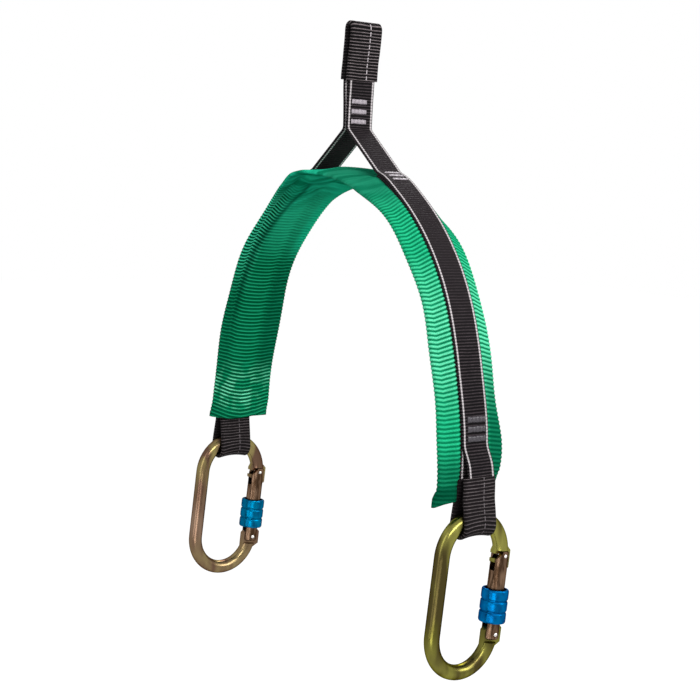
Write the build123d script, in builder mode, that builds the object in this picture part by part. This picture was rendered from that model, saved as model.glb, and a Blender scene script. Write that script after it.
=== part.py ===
"""Flat web sling: a webbing arch with a top eye, two lower eyes and two screw-gate carabiners.

Frame: the origin is the crown of the top eye, where a hook bears. +X runs along the span, +Y along
the webbing's width (the carabiners' gates are on that side) and +Z up. Millimetres.
"""

from build123d import *
import os
from math import acos, atan2, cos, degrees, hypot, radians, sin, sqrt

os.makedirs("parts", exist_ok=True)

# ---- Webbing, sleeves and band --------------------------------------------------------------------
WEB_WIDTH = 22.0  # webbing, across
WEB_THICK = 2.2  # one ply
SLEEVE_MARGIN = 2.0  # a wear sleeve's fold stands out this far past each edge of the webbing
SLEEVE_WALL = 0.6  # one wall of a wear sleeve
BAND_WIDTH = 50.0  # protector band, laid flat
BAND_THICK = 3.0  # both walls of the tubular band
BAND_FLAT_MARGIN = 1.5  # the band stays flat this far past each edge of the webbing
BAND_DROOP = 4.5  # how far the band's two edges turn in towards the arch's inside
LAY_GAP = 0.1  # between the band and the webbing sewn on it

# Arch: the band's middle surface, as three tangent arcs from the crown down to an upright foot
ARCH_CROWN_RADIUS = 108.0
ARCH_CROWN_ANGLE = 40.0  # degrees that the crown's arc turns
ARCH_HIP_RADIUS = 154.0
ARCH_HIP_ANGLE = 31.0
ARCH_LEG_RADIUS = 305.0
ARCH_FOOT_ANGLE = 90.0  # the foot's direction, from level
CROWN_DROP = 28.4  # crown of the arch below the place where the plies part
SHOULDER_ANGLE = 18.5  # where a ply comes down on the leg, from the crown
INNER_PLY_ANGLE = 16.5  # where the leg's inner ply starts

# Top eye and stem, going down from the crown of the eye
TOP_EYE_GAP = 4.3  # clear width inside the sleeve
TOP_EYE_PARALLEL = 14.0  # the two plies run parallel over this length
TOP_EYE_LENGTH = 46.0  # and meet here
TOP_SLEEVE_LENGTH = 35.5
STEM_LENGTH = 21.5  # two plies sewn together

# Lower eyes, placed from the end of the band's middle surface
EYE_OUT = 5.9  # middle of the eye, outward
EYE_DROP = 22.0  # and down
EYE_ROOM = 0.3  # between the eye's sleeve and all that the carabiner's bend sweeps in it
EYE_SPLIT_RISE = 24.3  # the leg's two plies part this far above the band's end
EYE_KNEE_DROP = 2.2  # the inner ply leaves the band's line this far below its end
EYE_SLEEVE_OUTER_RISE = 8.3  # top edge of the sleeve on the outer ply, above the band's end
EYE_SLEEVE_INNER_DROP = 3.7  # and on the inner ply, below it

# Bar tacks
TACK_LENGTH = 13.0
TACK_WIDTH = 2.6
TACK_HEIGHT = 0.6
TACK_CORNER = 0.8
TACK_COUNT = 3
STEM_TACK_PITCH = 6.8
STEM_TACK_DROP = 3.5  # first tack below the closed end of the top eye
SHOULDER_TACK_PITCH = 4.5
SHOULDER_TACK_SETBACK = 2.2  # first tack past the shoulder
EYE_TACK_PITCH = 6.0
EYE_TACK_RISE = 6.0  # lowest tack above the place where the plies part

# ---- Carabiner ------------------------------------------------------------------------------------
CARABINER_LENGTH = 110.0  # outside
CARABINER_WIDTH = 60.0  # outside
ROD_DIAMETER = 10.0
CARABINER_LEAN = 5.0  # degrees, bottom towards the spine side
GATE_DIAMETER = 11.4
GATE_EDGE = 0.8  # chamfer at the gate's two ends
GATE_BEVEL_WIDTH = 3.9  # the gate's top is cut away towards the spine, across
GATE_BEVEL_DEPTH = 5.9  # and down
TAB_THICK = 4.0  # the rod's two ends are forged to this thickness
TAB_PROUD = 1.3  # and stand out this far past the gate on both edges
TAB_CORNER = 1.2  # radius of the nose tab's lower corners
TAB_ROOT = 3.6  # how far a tab's taper runs up into the round rod
TAB_LAP = 1.0  # a tab's root lies this far inside the rod's skin
SLOT_GAP = 0.15  # each side of a tab in the gate's slots
SLOT_END_GAP = 0.7  # between a slot's end and what turns in it
NOSE_SHOULDER = 3.6  # end of the round rod above the top bend's centre
NOSE_TAB_OUTER = 9.0  # the nose tab reaches this far below that centre, outside
NOSE_TAB_INNER = 4.0  # and inside
LATCH_PIN_RISE = 0.3  # latch pin above the top bend's centre
LATCH_PIN_RADIUS = 1.3
LATCH_GAP = 0.1
HOOK_DEPTH = 0.35  # the hook's lip stands this far above its pocket
HINGE_DEPTH = 1.0  # hinge rivet below the bottom bend's centre
HINGE_SHOULDER = 5.7  # end of the round rod below the rivet
HINGE_LIP_PROUD = 2.1  # the hinge tab's outer lip stands out this far past the gate
HINGE_LIP_CORNER = 1.5  # chamfer on the hinge tab's outer lip
GATE_HEEL = 3.5  # the gate ends this far below the rivet
GATE_TOP_GAP = 0.6  # between the gate's top and the nose's shoulder
PIN_RADIUS = 1.5
PIN_RUNNING_GAP = 0.05  # rivet in the hinge tab
PIN_HEAD_PROUD = 0.35  # domed ends of both pins
CAM_RADIUS = 5.0  # rivet to the cam's face with the gate shut
CAM_RISE = 3.08  # mm per radian of gate swing
CAM_END = 32.0  # degrees of cam on the inner side
PLUNGER_RADIUS = 1.9
PLUNGER_NOSE = 0.4  # radius of the flat at the cone's end
PLUNGER_LENGTH = 8.8
PLUNGER_TIP_GAP = 0.1
BORE_GAP = 0.05  # plunger and spring in the gate's bore
BORE_LENGTH = 13.0  # room for the spring above the plunger
SPRING_WIRE = 0.5
SPRING_TURNS = 6
SPRING_SIDES = 6  # the wire's section, drawn as a polygon
NUT_LENGTH = 21.8
NUT_WALL = 1.45  # round the wide mouth
NUT_RINGS = 3
NUT_GROOVE_DEPTH = 0.85  # between two rings
NUT_GROOVE_WIDTH = 0.5  # at its bottom
NUT_EDGE = 1.5  # how far along the nut a ring's rounding reaches
NUT_EDGE_STEPS = 4  # straight steps that make up the rounding
NUT_ABOVE_HINGE = 7.5  # unscrewed nut's lower face above the rivet
NUT_MOUTH_GAP = 0.15  # between the mouth and the nose tab that it closes over
NUT_MOUTH_DEPTH = 12.5
NUT_RUNNING_GAP = 0.05  # the thread, drawn as a running fit

# ---- Worked out from the driving dimensions -------------------------------------------------------
FULL_TURN = 360
SLEEVE_WIDTH = WEB_WIDTH + 2 * SLEEVE_MARGIN
SPLIT_Z = -TOP_EYE_LENGTH - STEM_LENGTH
CROWN_Z = SPLIT_Z - CROWN_DROP
BAND_OUTER = BAND_THICK / 2
WEB_INNER = BAND_OUTER + LAY_GAP
WEB_MIDDLE = WEB_INNER + WEB_THICK
WEB_OUTER = WEB_MIDDLE + WEB_THICK
ROD_RADIUS = ROD_DIAMETER / 2
BEND_RADIUS = (CARABINER_WIDTH - ROD_DIAMETER) / 2
SPINE_LENGTH = CARABINER_LENGTH - CARABINER_WIDTH

# A bend in an eye: at the sleeve's edges its section hangs lower and is cut as an ellipse
edge_drop = sqrt(BEND_RADIUS**2 - (SLEEVE_WIDTH / 2) ** 2)
bend_low = edge_drop - ROD_RADIUS * BEND_RADIUS / edge_drop
bend_high = BEND_RADIUS + ROD_RADIUS
EYE_RADIUS = (bend_high - bend_low) / 2 + EYE_ROOM + SLEEVE_WALL  # to the webbing's inner face


def arch_arcs():
    """Centre (x, z), radius, and start and end angle from the vertical, of each arc of the arch."""
    arcs = []
    x, z, turned = 0.0, CROWN_Z, 0.0
    for radius, sweep in (
        (ARCH_CROWN_RADIUS, ARCH_CROWN_ANGLE),
        (ARCH_HIP_RADIUS, ARCH_HIP_ANGLE),
        (ARCH_LEG_RADIUS, ARCH_FOOT_ANGLE - ARCH_CROWN_ANGLE - ARCH_HIP_ANGLE),
    ):
        x -= radius * sin(radians(turned))
        z -= radius * cos(radians(turned))
        arcs.append((x, z, radius, turned, turned + sweep))
        turned += sweep
        x += radius * sin(radians(turned))
        z += radius * cos(radians(turned))
    return arcs


def arch_point(angle, lift):
    """Point (x, z) on the right leg at an angle from the vertical, lifted outward from the middle."""
    x, z, radius, _, _ = next(arc for arc in arch_arcs() if angle <= arc[4] + 1e-9)
    return x + (radius + lift) * sin(radians(angle)), z + (radius + lift) * cos(radians(angle))


def angle_at_height(height, lift):
    """Angle of the last arc's point at a height, on the surface lifted outward."""
    _, z, radius, _, _ = arch_arcs()[-1]
    return degrees(acos((height - z) / (radius + lift)))


def face_plane(angle, lift):
    """Plane on the right leg's surface: x across the webbing, y up the leg, z outward."""
    x, z = arch_point(angle, lift)
    return Plane(
        origin=(x, 0, z), x_dir=(0, -1, 0), z_dir=(sin(radians(angle)), 0, cos(radians(angle)))
    )


def leg_outline(start, low, high):
    """Region of the right leg between two lifts, from an angle down to the arch's end."""
    for lift in (low, high):
        for x, z, radius, begin, end in arch_arcs():
            first = max(begin, start)
            if first < end:
                CenterArc((x, z), radius + lift, 90 - first, first - end)
    Line(arch_point(start, low), arch_point(start, high))
    Line(arch_point(ARCH_FOOT_ANGLE, low), arch_point(ARCH_FOOT_ANGLE, high))


def unit(x, z):
    """Vector (x, z) scaled to length 1."""
    length = hypot(x, z)
    return x / length, z / length


FOOT_X, FOOT_Z = arch_point(ARCH_FOOT_ANGLE, 0)
EYE_X = FOOT_X + EYE_OUT
EYE_Z = FOOT_Z - EYE_DROP
EYE_SPLIT_Z = FOOT_Z + EYE_SPLIT_RISE
TOP_BEND_Z = EYE_Z - (bend_high + bend_low) / 2


def tangent_angle(point, side):
    """Angle about a lower eye's middle at which a line from the point touches the eye's round."""
    x, z = point[0] - EYE_X, point[1] - EYE_Z
    return degrees(atan2(z, x) - side * acos(EYE_RADIUS / hypot(x, z)))


# ---- Eyes, as the holes inside the webbing ----------------------------------------------------------
with BuildSketch() as top_hole:
    with BuildLine():
        radius = TOP_EYE_GAP / 2 + SLEEVE_WALL
        CenterArc((0, -radius), radius, 0, 180)
        Line((radius, -radius), (radius, -TOP_EYE_PARALLEL))
        Line((-radius, -radius), (-radius, -TOP_EYE_PARALLEL))
        Line((radius, -TOP_EYE_PARALLEL), (0, -TOP_EYE_LENGTH))
        Line((-radius, -TOP_EYE_PARALLEL), (0, -TOP_EYE_LENGTH))
    make_face()

# A pointed drop: its point lies between the leg's plies, its outer side is one straight run, and its
# inner side follows the leg past the band's end and then runs to the round bottom.
with BuildSketch() as right_hole:
    with BuildLine():
        split_angle = angle_at_height(EYE_SPLIT_Z, WEB_MIDDLE)
        point = arch_point(split_angle, WEB_MIDDLE)
        foot = arch_point(ARCH_FOOT_ANGLE, WEB_MIDDLE)
        knee = (foot[0], foot[1] - EYE_KNEE_DROP)
        outer = tangent_angle(point, 1)
        inner = tangent_angle(knee, -1)
        round_the_bottom = (outer - inner) % FULL_TURN
        bottom = CenterArc((EYE_X, EYE_Z), EYE_RADIUS, outer, -round_the_bottom)
        x, z, radius, _, _ = arch_arcs()[-1]
        begin = 90 - ARCH_FOOT_ANGLE
        CenterArc((x, z), radius + WEB_MIDDLE, begin, ARCH_FOOT_ANGLE - split_angle)
        Polyline(foot, knee, bottom @ 1)
        Line(point, bottom @ 0)
    make_face()

# ---- Main webbing ---------------------------------------------------------------------------------
shoulder = arch_point(SHOULDER_ANGLE, WEB_OUTER)
run = unit(shoulder[0] - WEB_THICK, shoulder[1] - SPLIT_Z)
run_normal = (-run[1], run[0])
leg_normal = (sin(radians(SHOULDER_ANGLE)), cos(radians(SHOULDER_ANGLE)))
mitre = WEB_THICK / (1 + run_normal[0] * leg_normal[0] + run_normal[1] * leg_normal[1])
shoulder_inner = (
    shoulder[0] - mitre * (run_normal[0] + leg_normal[0]),
    shoulder[1] - mitre * (run_normal[1] + leg_normal[1]),
)
crotch_z = shoulder_inner[1] - shoulder_inner[0] * run[1] / run[0]

with BuildPart() as webbing:
    with BuildSketch(Plane.XZ) as webbing_face:
        with BuildLine():
            leg_outline(SHOULDER_ANGLE, WEB_INNER, WEB_OUTER)
        make_face()
        with BuildLine():
            leg_outline(INNER_PLY_ANGLE, WEB_INNER, WEB_MIDDLE)
        make_face()
        with BuildLine():
            Polyline(
                (0, -TOP_EYE_LENGTH),
                (WEB_THICK, -TOP_EYE_LENGTH),
                (WEB_THICK, SPLIT_Z),
                shoulder,
                arch_point(SHOULDER_ANGLE, WEB_MIDDLE),
                shoulder_inner,
                (0, crotch_z),
                close=True,
            )
        make_face()
        add(offset(right_hole.sketch, WEB_THICK, mode=Mode.PRIVATE))
        add(right_hole.sketch, mode=Mode.SUBTRACT)
        mirror(about=Plane.YZ)
        add(offset(top_hole.sketch, WEB_THICK, mode=Mode.PRIVATE))
        add(top_hole.sketch, mode=Mode.SUBTRACT)
    extrude(amount=WEB_WIDTH / 2, both=True)
webbing.part.label = "main_webbing"
export_step(webbing.part, "parts/main_webbing.step")

# ---- Protector band -------------------------------------------------------------------------------
with BuildPart() as band:
    for x, z, radius, begin, end in arch_arcs():
        start = (x + radius * sin(radians(begin)), 0, z + radius * cos(radians(begin)))
        section = Plane(
            origin=start,
            x_dir=(0, 1, 0),
            z_dir=(cos(radians(begin)), 0, -sin(radians(begin))),
        )
        with BuildSketch(section):
            with BuildLine():
                half = BAND_WIDTH / 2
                flat = WEB_WIDTH / 2 + BAND_FLAT_MARGIN
                skin = BAND_THICK / 2
                Polyline(
                    (-half, -BAND_DROOP + skin),
                    (-flat, skin),
                    (flat, skin),
                    (half, -BAND_DROOP + skin),
                    (half, -BAND_DROOP - skin),
                    (flat, -skin),
                    (-flat, -skin),
                    (-half, -BAND_DROOP - skin),
                    close=True,
                )
            make_face()
        revolve(axis=Axis((x, 0, z), (0, 1, 0)), revolution_arc=end - begin)
    mirror(about=Plane.YZ)
band.part.label = "protector_band"
export_step(band.part, "parts/protector_band.step")

# ---- Wear sleeves ---------------------------------------------------------------------------------
with BuildPart() as top_sleeve:
    with BuildSketch(Plane.XZ):
        add(offset(top_hole.sketch, WEB_THICK + SLEEVE_WALL, mode=Mode.PRIVATE))
        add(offset(top_hole.sketch, -SLEEVE_WALL, mode=Mode.PRIVATE), mode=Mode.SUBTRACT)
        with Locations((0, -TOP_SLEEVE_LENGTH)):
            Rectangle(SLEEVE_WIDTH, TOP_EYE_LENGTH, align=(Align.CENTER, Align.MAX), mode=Mode.SUBTRACT)
    extrude(amount=SLEEVE_WIDTH / 2, both=True)
    with BuildSketch(Plane.XZ):
        add(offset(top_hole.sketch, WEB_THICK, mode=Mode.PRIVATE))
        add(top_hole.sketch, mode=Mode.SUBTRACT)
    extrude(amount=WEB_WIDTH / 2, both=True, mode=Mode.SUBTRACT)
top_sleeve.part.label = "top_eye_sleeve"
export_step(top_sleeve.part, "parts/top_eye_sleeve.step")

with BuildPart() as right_sleeve:
    with BuildSketch(Plane.XZ):
        add(offset(right_hole.sketch, WEB_THICK + SLEEVE_WALL, mode=Mode.PRIVATE))
        add(offset(right_hole.sketch, -SLEEVE_WALL, mode=Mode.PRIVATE), mode=Mode.SUBTRACT)
        cut = (EYE_SPLIT_RISE + EYE_DROP, EYE_SPLIT_RISE + EYE_DROP)
        with Locations((foot[0] + WEB_THICK, FOOT_Z + EYE_SLEEVE_OUTER_RISE)):
            Rectangle(*cut, align=(Align.MIN, Align.MIN), mode=Mode.SUBTRACT)
        with Locations((foot[0] + WEB_THICK, FOOT_Z - EYE_SLEEVE_INNER_DROP)):
            Rectangle(*cut, align=(Align.MAX, Align.MIN), mode=Mode.SUBTRACT)
    extrude(amount=SLEEVE_WIDTH / 2, both=True)
    with BuildSketch(Plane.XZ):
        add(offset(right_hole.sketch, WEB_THICK, mode=Mode.PRIVATE))
        add(right_hole.sketch, mode=Mode.SUBTRACT)
    extrude(amount=WEB_WIDTH / 2, both=True, mode=Mode.SUBTRACT)

with BuildPart() as left_sleeve:
    mirror(right_sleeve.part, about=Plane.YZ)

for side, sleeve in (("right", right_sleeve), ("left", left_sleeve)):
    sleeve.part.label = f"{side}_eye_sleeve"
    export_step(sleeve.part, f"parts/{side}_eye_sleeve.step")

# ---- Bar tacks ------------------------------------------------------------------------------------
with BuildPart() as stem_tacks:
    for place in range(TACK_COUNT):
        height = -TOP_EYE_LENGTH - STEM_TACK_DROP - place * STEM_TACK_PITCH
        for face in (-1, 1):
            with BuildSketch(
                Plane(origin=(face * WEB_THICK, 0, height), x_dir=(0, 1, 0), z_dir=(face, 0, 0))
            ):
                RectangleRounded(TACK_LENGTH, TACK_WIDTH, TACK_CORNER)
            extrude(amount=TACK_HEIGHT)
stem_tacks.part.label = "stem_bar_tacks"
export_step(stem_tacks.part, "parts/stem_bar_tacks.step")

with BuildPart() as shoulder_tacks:
    for place in range(TACK_COUNT):
        past = SHOULDER_TACK_SETBACK + place * SHOULDER_TACK_PITCH
        angle = SHOULDER_ANGLE + degrees(past / (ARCH_CROWN_RADIUS + WEB_OUTER))
        with BuildSketch(face_plane(angle, WEB_OUTER)):
            RectangleRounded(TACK_LENGTH, TACK_WIDTH, TACK_CORNER)
        extrude(amount=TACK_HEIGHT)

with BuildPart() as eye_tacks:
    for place in range(TACK_COUNT):
        height = EYE_SPLIT_Z + EYE_TACK_RISE + place * EYE_TACK_PITCH
        angle = angle_at_height(height, WEB_OUTER)
        with BuildSketch(face_plane(angle, WEB_OUTER)):
            RectangleRounded(TACK_LENGTH, TACK_WIDTH, TACK_CORNER)
        extrude(amount=TACK_HEIGHT)

with BuildPart() as left_shoulder_tacks:
    mirror(shoulder_tacks.part, about=Plane.YZ)

with BuildPart() as left_eye_tacks:
    mirror(eye_tacks.part, about=Plane.YZ)

for name, tacks in (
    ("right_shoulder_tacks", shoulder_tacks),
    ("left_shoulder_tacks", left_shoulder_tacks),
    ("right_eye_tacks", eye_tacks),
    ("left_eye_tacks", left_eye_tacks),
):
    tacks.part.label = name
    export_step(tacks.part, f"parts/{name}.step")

# ---- Carabiner, in its own plane ------------------------------------------------------------------
# Local x runs from the spine to the gate, local y up, local z along +X. The top bend's centre is the
# plane's origin, and the gate's axis is GATE_X.
GATE_X = BEND_RADIUS
HINGE_Y = -SPINE_LENGTH - HINGE_DEPTH
LATCH_Y = LATCH_PIN_RISE
TAB_WIDTH = GATE_DIAMETER + 2 * TAB_PROUD
GATE_TOP_Y = NOSE_SHOULDER - GATE_TOP_GAP
SHOULDER_Y = HINGE_Y - HINGE_SHOULDER
SLOT_WIDTH = TAB_THICK + 2 * SLOT_GAP
GATE_RADIUS = GATE_DIAMETER / 2
TAB_INNER_X = GATE_X - TAB_WIDTH / 2
TAB_OUTER_X = GATE_X + TAB_WIDTH / 2
CAM_TOP = CAM_RADIUS + CAM_RISE * radians(CAM_END)
HINGE_OUTER_X = GATE_X + GATE_RADIUS + HINGE_LIP_PROUD
LOWER_SLOT_Y = HINGE_Y + CAM_TOP + SLOT_END_GAP
UPPER_SLOT_Y = -NOSE_TAB_OUTER - SLOT_END_GAP
NUT_LOW_Y = HINGE_Y + NUT_ABOVE_HINGE
PLUNGER_TIP_Y = HINGE_Y + CAM_RADIUS + CAM_RISE * PLUNGER_NOSE / CAM_RADIUS + PLUNGER_TIP_GAP
PLUNGER_TOP_Y = PLUNGER_TIP_Y + PLUNGER_LENGTH
BORE_END_Y = PLUNGER_TOP_Y + BORE_LENGTH
MOUTH_RADIUS = hypot(TAB_WIDTH / 2, TAB_THICK / 2) + NUT_MOUTH_GAP
NUT_RADIUS = MOUTH_RADIUS + NUT_WALL


def oval_plane(side):
    """Plane of one carabiner: side is -1 for the left end of the span, 1 for the right."""
    lean = radians(CARABINER_LEAN)
    return Plane(
        origin=(side * EYE_X, 0, TOP_BEND_Z), x_dir=(0, cos(lean), -sin(lean)), z_dir=(1, 0, 0)
    )


def gate_plane(oval, height):
    """Plane square to the gate's axis at a height above the top bend's centre."""
    return Plane(
        origin=oval.from_local_coords((GATE_X, height, 0)), x_dir=oval.x_dir, z_dir=oval.y_dir
    )


def cam_point(angle):
    """Point of the cam's face at an angle from the shut gate, towards the spine."""
    reach = CAM_RADIUS + CAM_RISE * radians(angle)
    return GATE_X - reach * sin(radians(angle)), HINGE_Y + reach * cos(radians(angle))


def rod_edge(height, radius):
    """Distance from the oval's middle to a bend's circle at a height from the bend's centre."""
    return sqrt(radius**2 - height**2)


def carabiner_body(oval):
    """Bent rod with its nose tab and hook, and its hinge tab and cam."""
    with BuildPart() as body:
        with BuildLine(oval) as rod:
            CenterArc((0, -SPINE_LENGTH), BEND_RADIUS, 0, -180)
            Line((-BEND_RADIUS, -SPINE_LENGTH), (-BEND_RADIUS, 0))
            CenterArc((0, 0), BEND_RADIUS, 180, -180)
        with BuildSketch(Plane(origin=rod.line @ 0, z_dir=rod.line % 0)):
            Circle(ROD_RADIUS)
        sweep()
        # The gap that the gate fills, between the rod's two shoulders
        with BuildSketch(oval):
            with Locations((GATE_X, (NOSE_SHOULDER + SHOULDER_Y) / 2)):
                Rectangle(2 * TAB_WIDTH, NOSE_SHOULDER - SHOULDER_Y)
        extrude(amount=ROD_DIAMETER, both=True, mode=Mode.SUBTRACT)
        # Nose tab, with the hook that catches the latch pin
        root = NOSE_SHOULDER + TAB_ROOT
        with BuildSketch(oval):
            with BuildLine():
                Polyline(
                    (rod_edge(root, BEND_RADIUS - ROD_RADIUS) + TAB_LAP, root),
                    (TAB_INNER_X, NOSE_SHOULDER),
                    (TAB_INNER_X, -NOSE_TAB_INNER),
                    (TAB_OUTER_X, -NOSE_TAB_OUTER),
                    (TAB_OUTER_X, NOSE_SHOULDER),
                    (rod_edge(root, BEND_RADIUS + ROD_RADIUS) - TAB_LAP, root),
                    close=True,
                )
            tab = make_face()
            corners = tab.vertices().sort_by(Axis.Y)[:2]
            fillet(corners, TAB_CORNER)
            seat = LATCH_PIN_RADIUS + LATCH_GAP
            arc_drop = (TAB_WIDTH / 2) ** 2 / (2 * (LATCH_Y - HINGE_Y))
            with Locations((TAB_INNER_X, LATCH_Y - arc_drop / 2)):
                Rectangle(TAB_WIDTH, 2 * seat + arc_drop, mode=Mode.SUBTRACT)
            with Locations((GATE_X, LATCH_Y - (arc_drop + HOOK_DEPTH) / 2)):
                SlotCenterToCenter(arc_drop + HOOK_DEPTH, 2 * seat, rotation=90, mode=Mode.SUBTRACT)
        extrude(amount=TAB_THICK / 2, both=True)
        # Hinge tab, with the cam that drives the plunger and the lip outside the gate
        root = SHOULDER_Y - TAB_ROOT
        below = root + SPINE_LENGTH
        lip_y = HINGE_Y + CAM_RADIUS
        with BuildSketch(oval):
            with BuildLine():
                cam = ThreePointArc(cam_point(0), cam_point(CAM_END / 2), cam_point(CAM_END))
                Polyline(
                    cam @ 1,
                    (TAB_INNER_X, HINGE_Y + CAM_RADIUS / 2),
                    (TAB_INNER_X, SHOULDER_Y),
                    (rod_edge(below, BEND_RADIUS - ROD_RADIUS) + TAB_LAP, root),
                    (rod_edge(below, BEND_RADIUS + ROD_RADIUS) - TAB_LAP, root),
                    (HINGE_OUTER_X, SHOULDER_Y),
                    (HINGE_OUTER_X, lip_y - HINGE_LIP_CORNER),
                    (HINGE_OUTER_X - HINGE_LIP_CORNER, lip_y),
                    cam @ 0,
                )
            make_face()
        extrude(amount=TAB_THICK / 2, both=True)
        with BuildSketch(oval):
            with Locations((GATE_X, HINGE_Y)):
                Circle(PIN_RADIUS + PIN_RUNNING_GAP)
        extrude(amount=TAB_THICK, both=True, mode=Mode.SUBTRACT)
    return body.part


def gate(oval):
    """Round gate with a slot at each end, the bore for plunger and spring, and the pins' holes."""
    bottom = HINGE_Y - GATE_HEEL
    with BuildPart() as solid:
        with BuildSketch(gate_plane(oval, bottom)):
            Circle(GATE_RADIUS)
        extrude(amount=GATE_TOP_Y - bottom)
        chamfer(solid.edges().filter_by(GeomType.CIRCLE), GATE_EDGE)
        inner = GATE_X - GATE_RADIUS
        with BuildSketch(oval):
            with BuildLine():
                Polyline(
                    (inner, GATE_TOP_Y),
                    (inner + GATE_BEVEL_WIDTH, GATE_TOP_Y),
                    (inner, GATE_TOP_Y - GATE_BEVEL_DEPTH),
                    close=True,
                )
            make_face()
        extrude(amount=GATE_DIAMETER, both=True, mode=Mode.SUBTRACT)
        for low, high in ((bottom, LOWER_SLOT_Y), (UPPER_SLOT_Y, GATE_TOP_Y)):
            with BuildSketch(gate_plane(oval, low)):
                Rectangle(2 * GATE_DIAMETER, SLOT_WIDTH)
            extrude(amount=high - low, mode=Mode.SUBTRACT)
        with BuildSketch(gate_plane(oval, LOWER_SLOT_Y)):
            Circle(PLUNGER_RADIUS + BORE_GAP)
        extrude(amount=BORE_END_Y - LOWER_SLOT_Y, mode=Mode.SUBTRACT)
        for height, radius in ((HINGE_Y, PIN_RADIUS), (LATCH_Y, LATCH_PIN_RADIUS)):
            with BuildSketch(oval):
                with Locations((GATE_X, height)):
                    Circle(radius)
            extrude(amount=GATE_DIAMETER, both=True, mode=Mode.SUBTRACT)
    return solid.part


def cross_pin(oval, height, radius):
    """Pin through the gate's cheeks, its two ends peened into low domes."""
    start = Plane(
        origin=oval.from_local_coords((GATE_X, height, 0)), x_dir=oval.z_dir, z_dir=oval.x_dir
    )
    end = GATE_RADIUS + PIN_HEAD_PROUD
    rim = GATE_RADIUS - PIN_HEAD_PROUD
    with BuildPart() as pin:
        with BuildSketch(start):
            with BuildLine():
                Polyline((end, 0), (0, 0), (0, radius), (rim, radius))
                TangentArc((end, 0), (rim, radius), tangent=(0, 1))
            make_face()
        revolve(axis=Axis(start.origin, start.x_dir))
        mirror(about=Plane(origin=start.origin, z_dir=start.x_dir))
    return pin.part


def axis_plane(oval, height):
    """Plane through the gate's axis at a height: x across the gate, y along it."""
    return Plane(
        origin=oval.from_local_coords((GATE_X, height, 0)), x_dir=oval.x_dir, z_dir=oval.z_dir
    )


def plunger(oval):
    """Round plunger with a conical nose that rides on the cam."""
    tip = axis_plane(oval, PLUNGER_TIP_Y)
    with BuildPart() as piece:
        with BuildSketch(tip):
            with BuildLine():
                Polyline(
                    (0, 0),
                    (PLUNGER_NOSE, 0),
                    (PLUNGER_RADIUS, PLUNGER_RADIUS - PLUNGER_NOSE),
                    (PLUNGER_RADIUS, PLUNGER_LENGTH),
                    (0, PLUNGER_LENGTH),
                    close=True,
                )
            make_face()
        revolve(axis=Axis(tip.origin, tip.y_dir))
    return piece.part


def gate_spring(oval):
    """Compression spring between the plunger and the blind end of the bore."""
    inset = SPRING_WIRE / 2 + BORE_GAP
    height = BORE_LENGTH - 2 * inset
    seat = gate_plane(oval, PLUNGER_TOP_Y + inset)
    with BuildPart() as spring:
        with BuildLine() as wire:
            Helix(
                pitch=height / SPRING_TURNS,
                height=height,
                radius=PLUNGER_RADIUS - inset,
                center=seat.origin,
                direction=seat.z_dir,
            )
        with BuildSketch(Plane(origin=wire.line @ 0, z_dir=wire.line % 0)):
            RegularPolygon(SPRING_WIRE / 2, SPRING_SIDES)
        sweep(is_frenet=True)
    return spring.part


def ring_profile():
    """Outer profile of the lock nut's rings, from its lower face up, as (radius, height)."""
    pitch = (NUT_LENGTH + NUT_GROOVE_WIDTH) / NUT_RINGS
    quarter = [90 * step / NUT_EDGE_STEPS for step in range(NUT_EDGE_STEPS + 1)]
    profile = []
    for ring in range(NUT_RINGS):
        low = ring * pitch
        high = low + pitch - NUT_GROOVE_WIDTH
        for turn in quarter:
            radius = NUT_RADIUS - NUT_GROOVE_DEPTH * (1 - sin(radians(turn)))
            profile.append((radius, low + NUT_EDGE * (1 - cos(radians(turn)))))
        for turn in reversed(quarter):
            radius = NUT_RADIUS - NUT_GROOVE_DEPTH * (1 - sin(radians(turn)))
            profile.append((radius, high - NUT_EDGE * (1 - cos(radians(turn)))))
    return profile


def lock_nut(oval):
    """Screw sleeve: rounded rings outside, a wide mouth above the threaded bore inside."""
    low = axis_plane(oval, NUT_LOW_Y)
    bore = GATE_RADIUS + NUT_RUNNING_GAP
    with BuildPart() as nut:
        with BuildSketch(low):
            with BuildLine():
                Polyline(
                    *ring_profile(),
                    (MOUTH_RADIUS, NUT_LENGTH),
                    (MOUTH_RADIUS, NUT_LENGTH - NUT_MOUTH_DEPTH),
                    (bore, NUT_LENGTH - NUT_MOUTH_DEPTH),
                    (bore, 0),
                    close=True,
                )
            make_face()
        revolve(axis=Axis(low.origin, low.y_dir))
    return nut.part


PIECES = {
    "carabiner_body": carabiner_body,
    "gate": gate,
    "hinge_rivet": lambda oval: cross_pin(oval, HINGE_Y, PIN_RADIUS),
    "latch_pin": lambda oval: cross_pin(oval, LATCH_Y, LATCH_PIN_RADIUS),
    "plunger": plunger,
    "gate_spring": gate_spring,
    "lock_nut": lock_nut,
}

for side, sign in (("left", -1), ("right", 1)):
    for piece, make in PIECES.items():
        part = make(oval_plane(sign))
        part.label = f"{side}_{piece}"
        export_step(part, f"parts/{side}_{piece}.step")
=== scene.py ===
"""Flat web sling: woven webbing, tubular sleeves, a green protector band and two screw-gate carabiners.

Everything is in metres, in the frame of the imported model: the origin is the crown of the top eye, +X
runs along the span, +Y across the webbing and +Z up. The soft goods are worked out here as surfaces;
the steel pieces keep their solids and get their finishes.
"""

from __future__ import annotations

import logging
from dataclasses import dataclass, replace
from enum import Enum
from functools import reduce

import bpy
import numpy as np
from mathutils import Matrix, Vector


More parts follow.
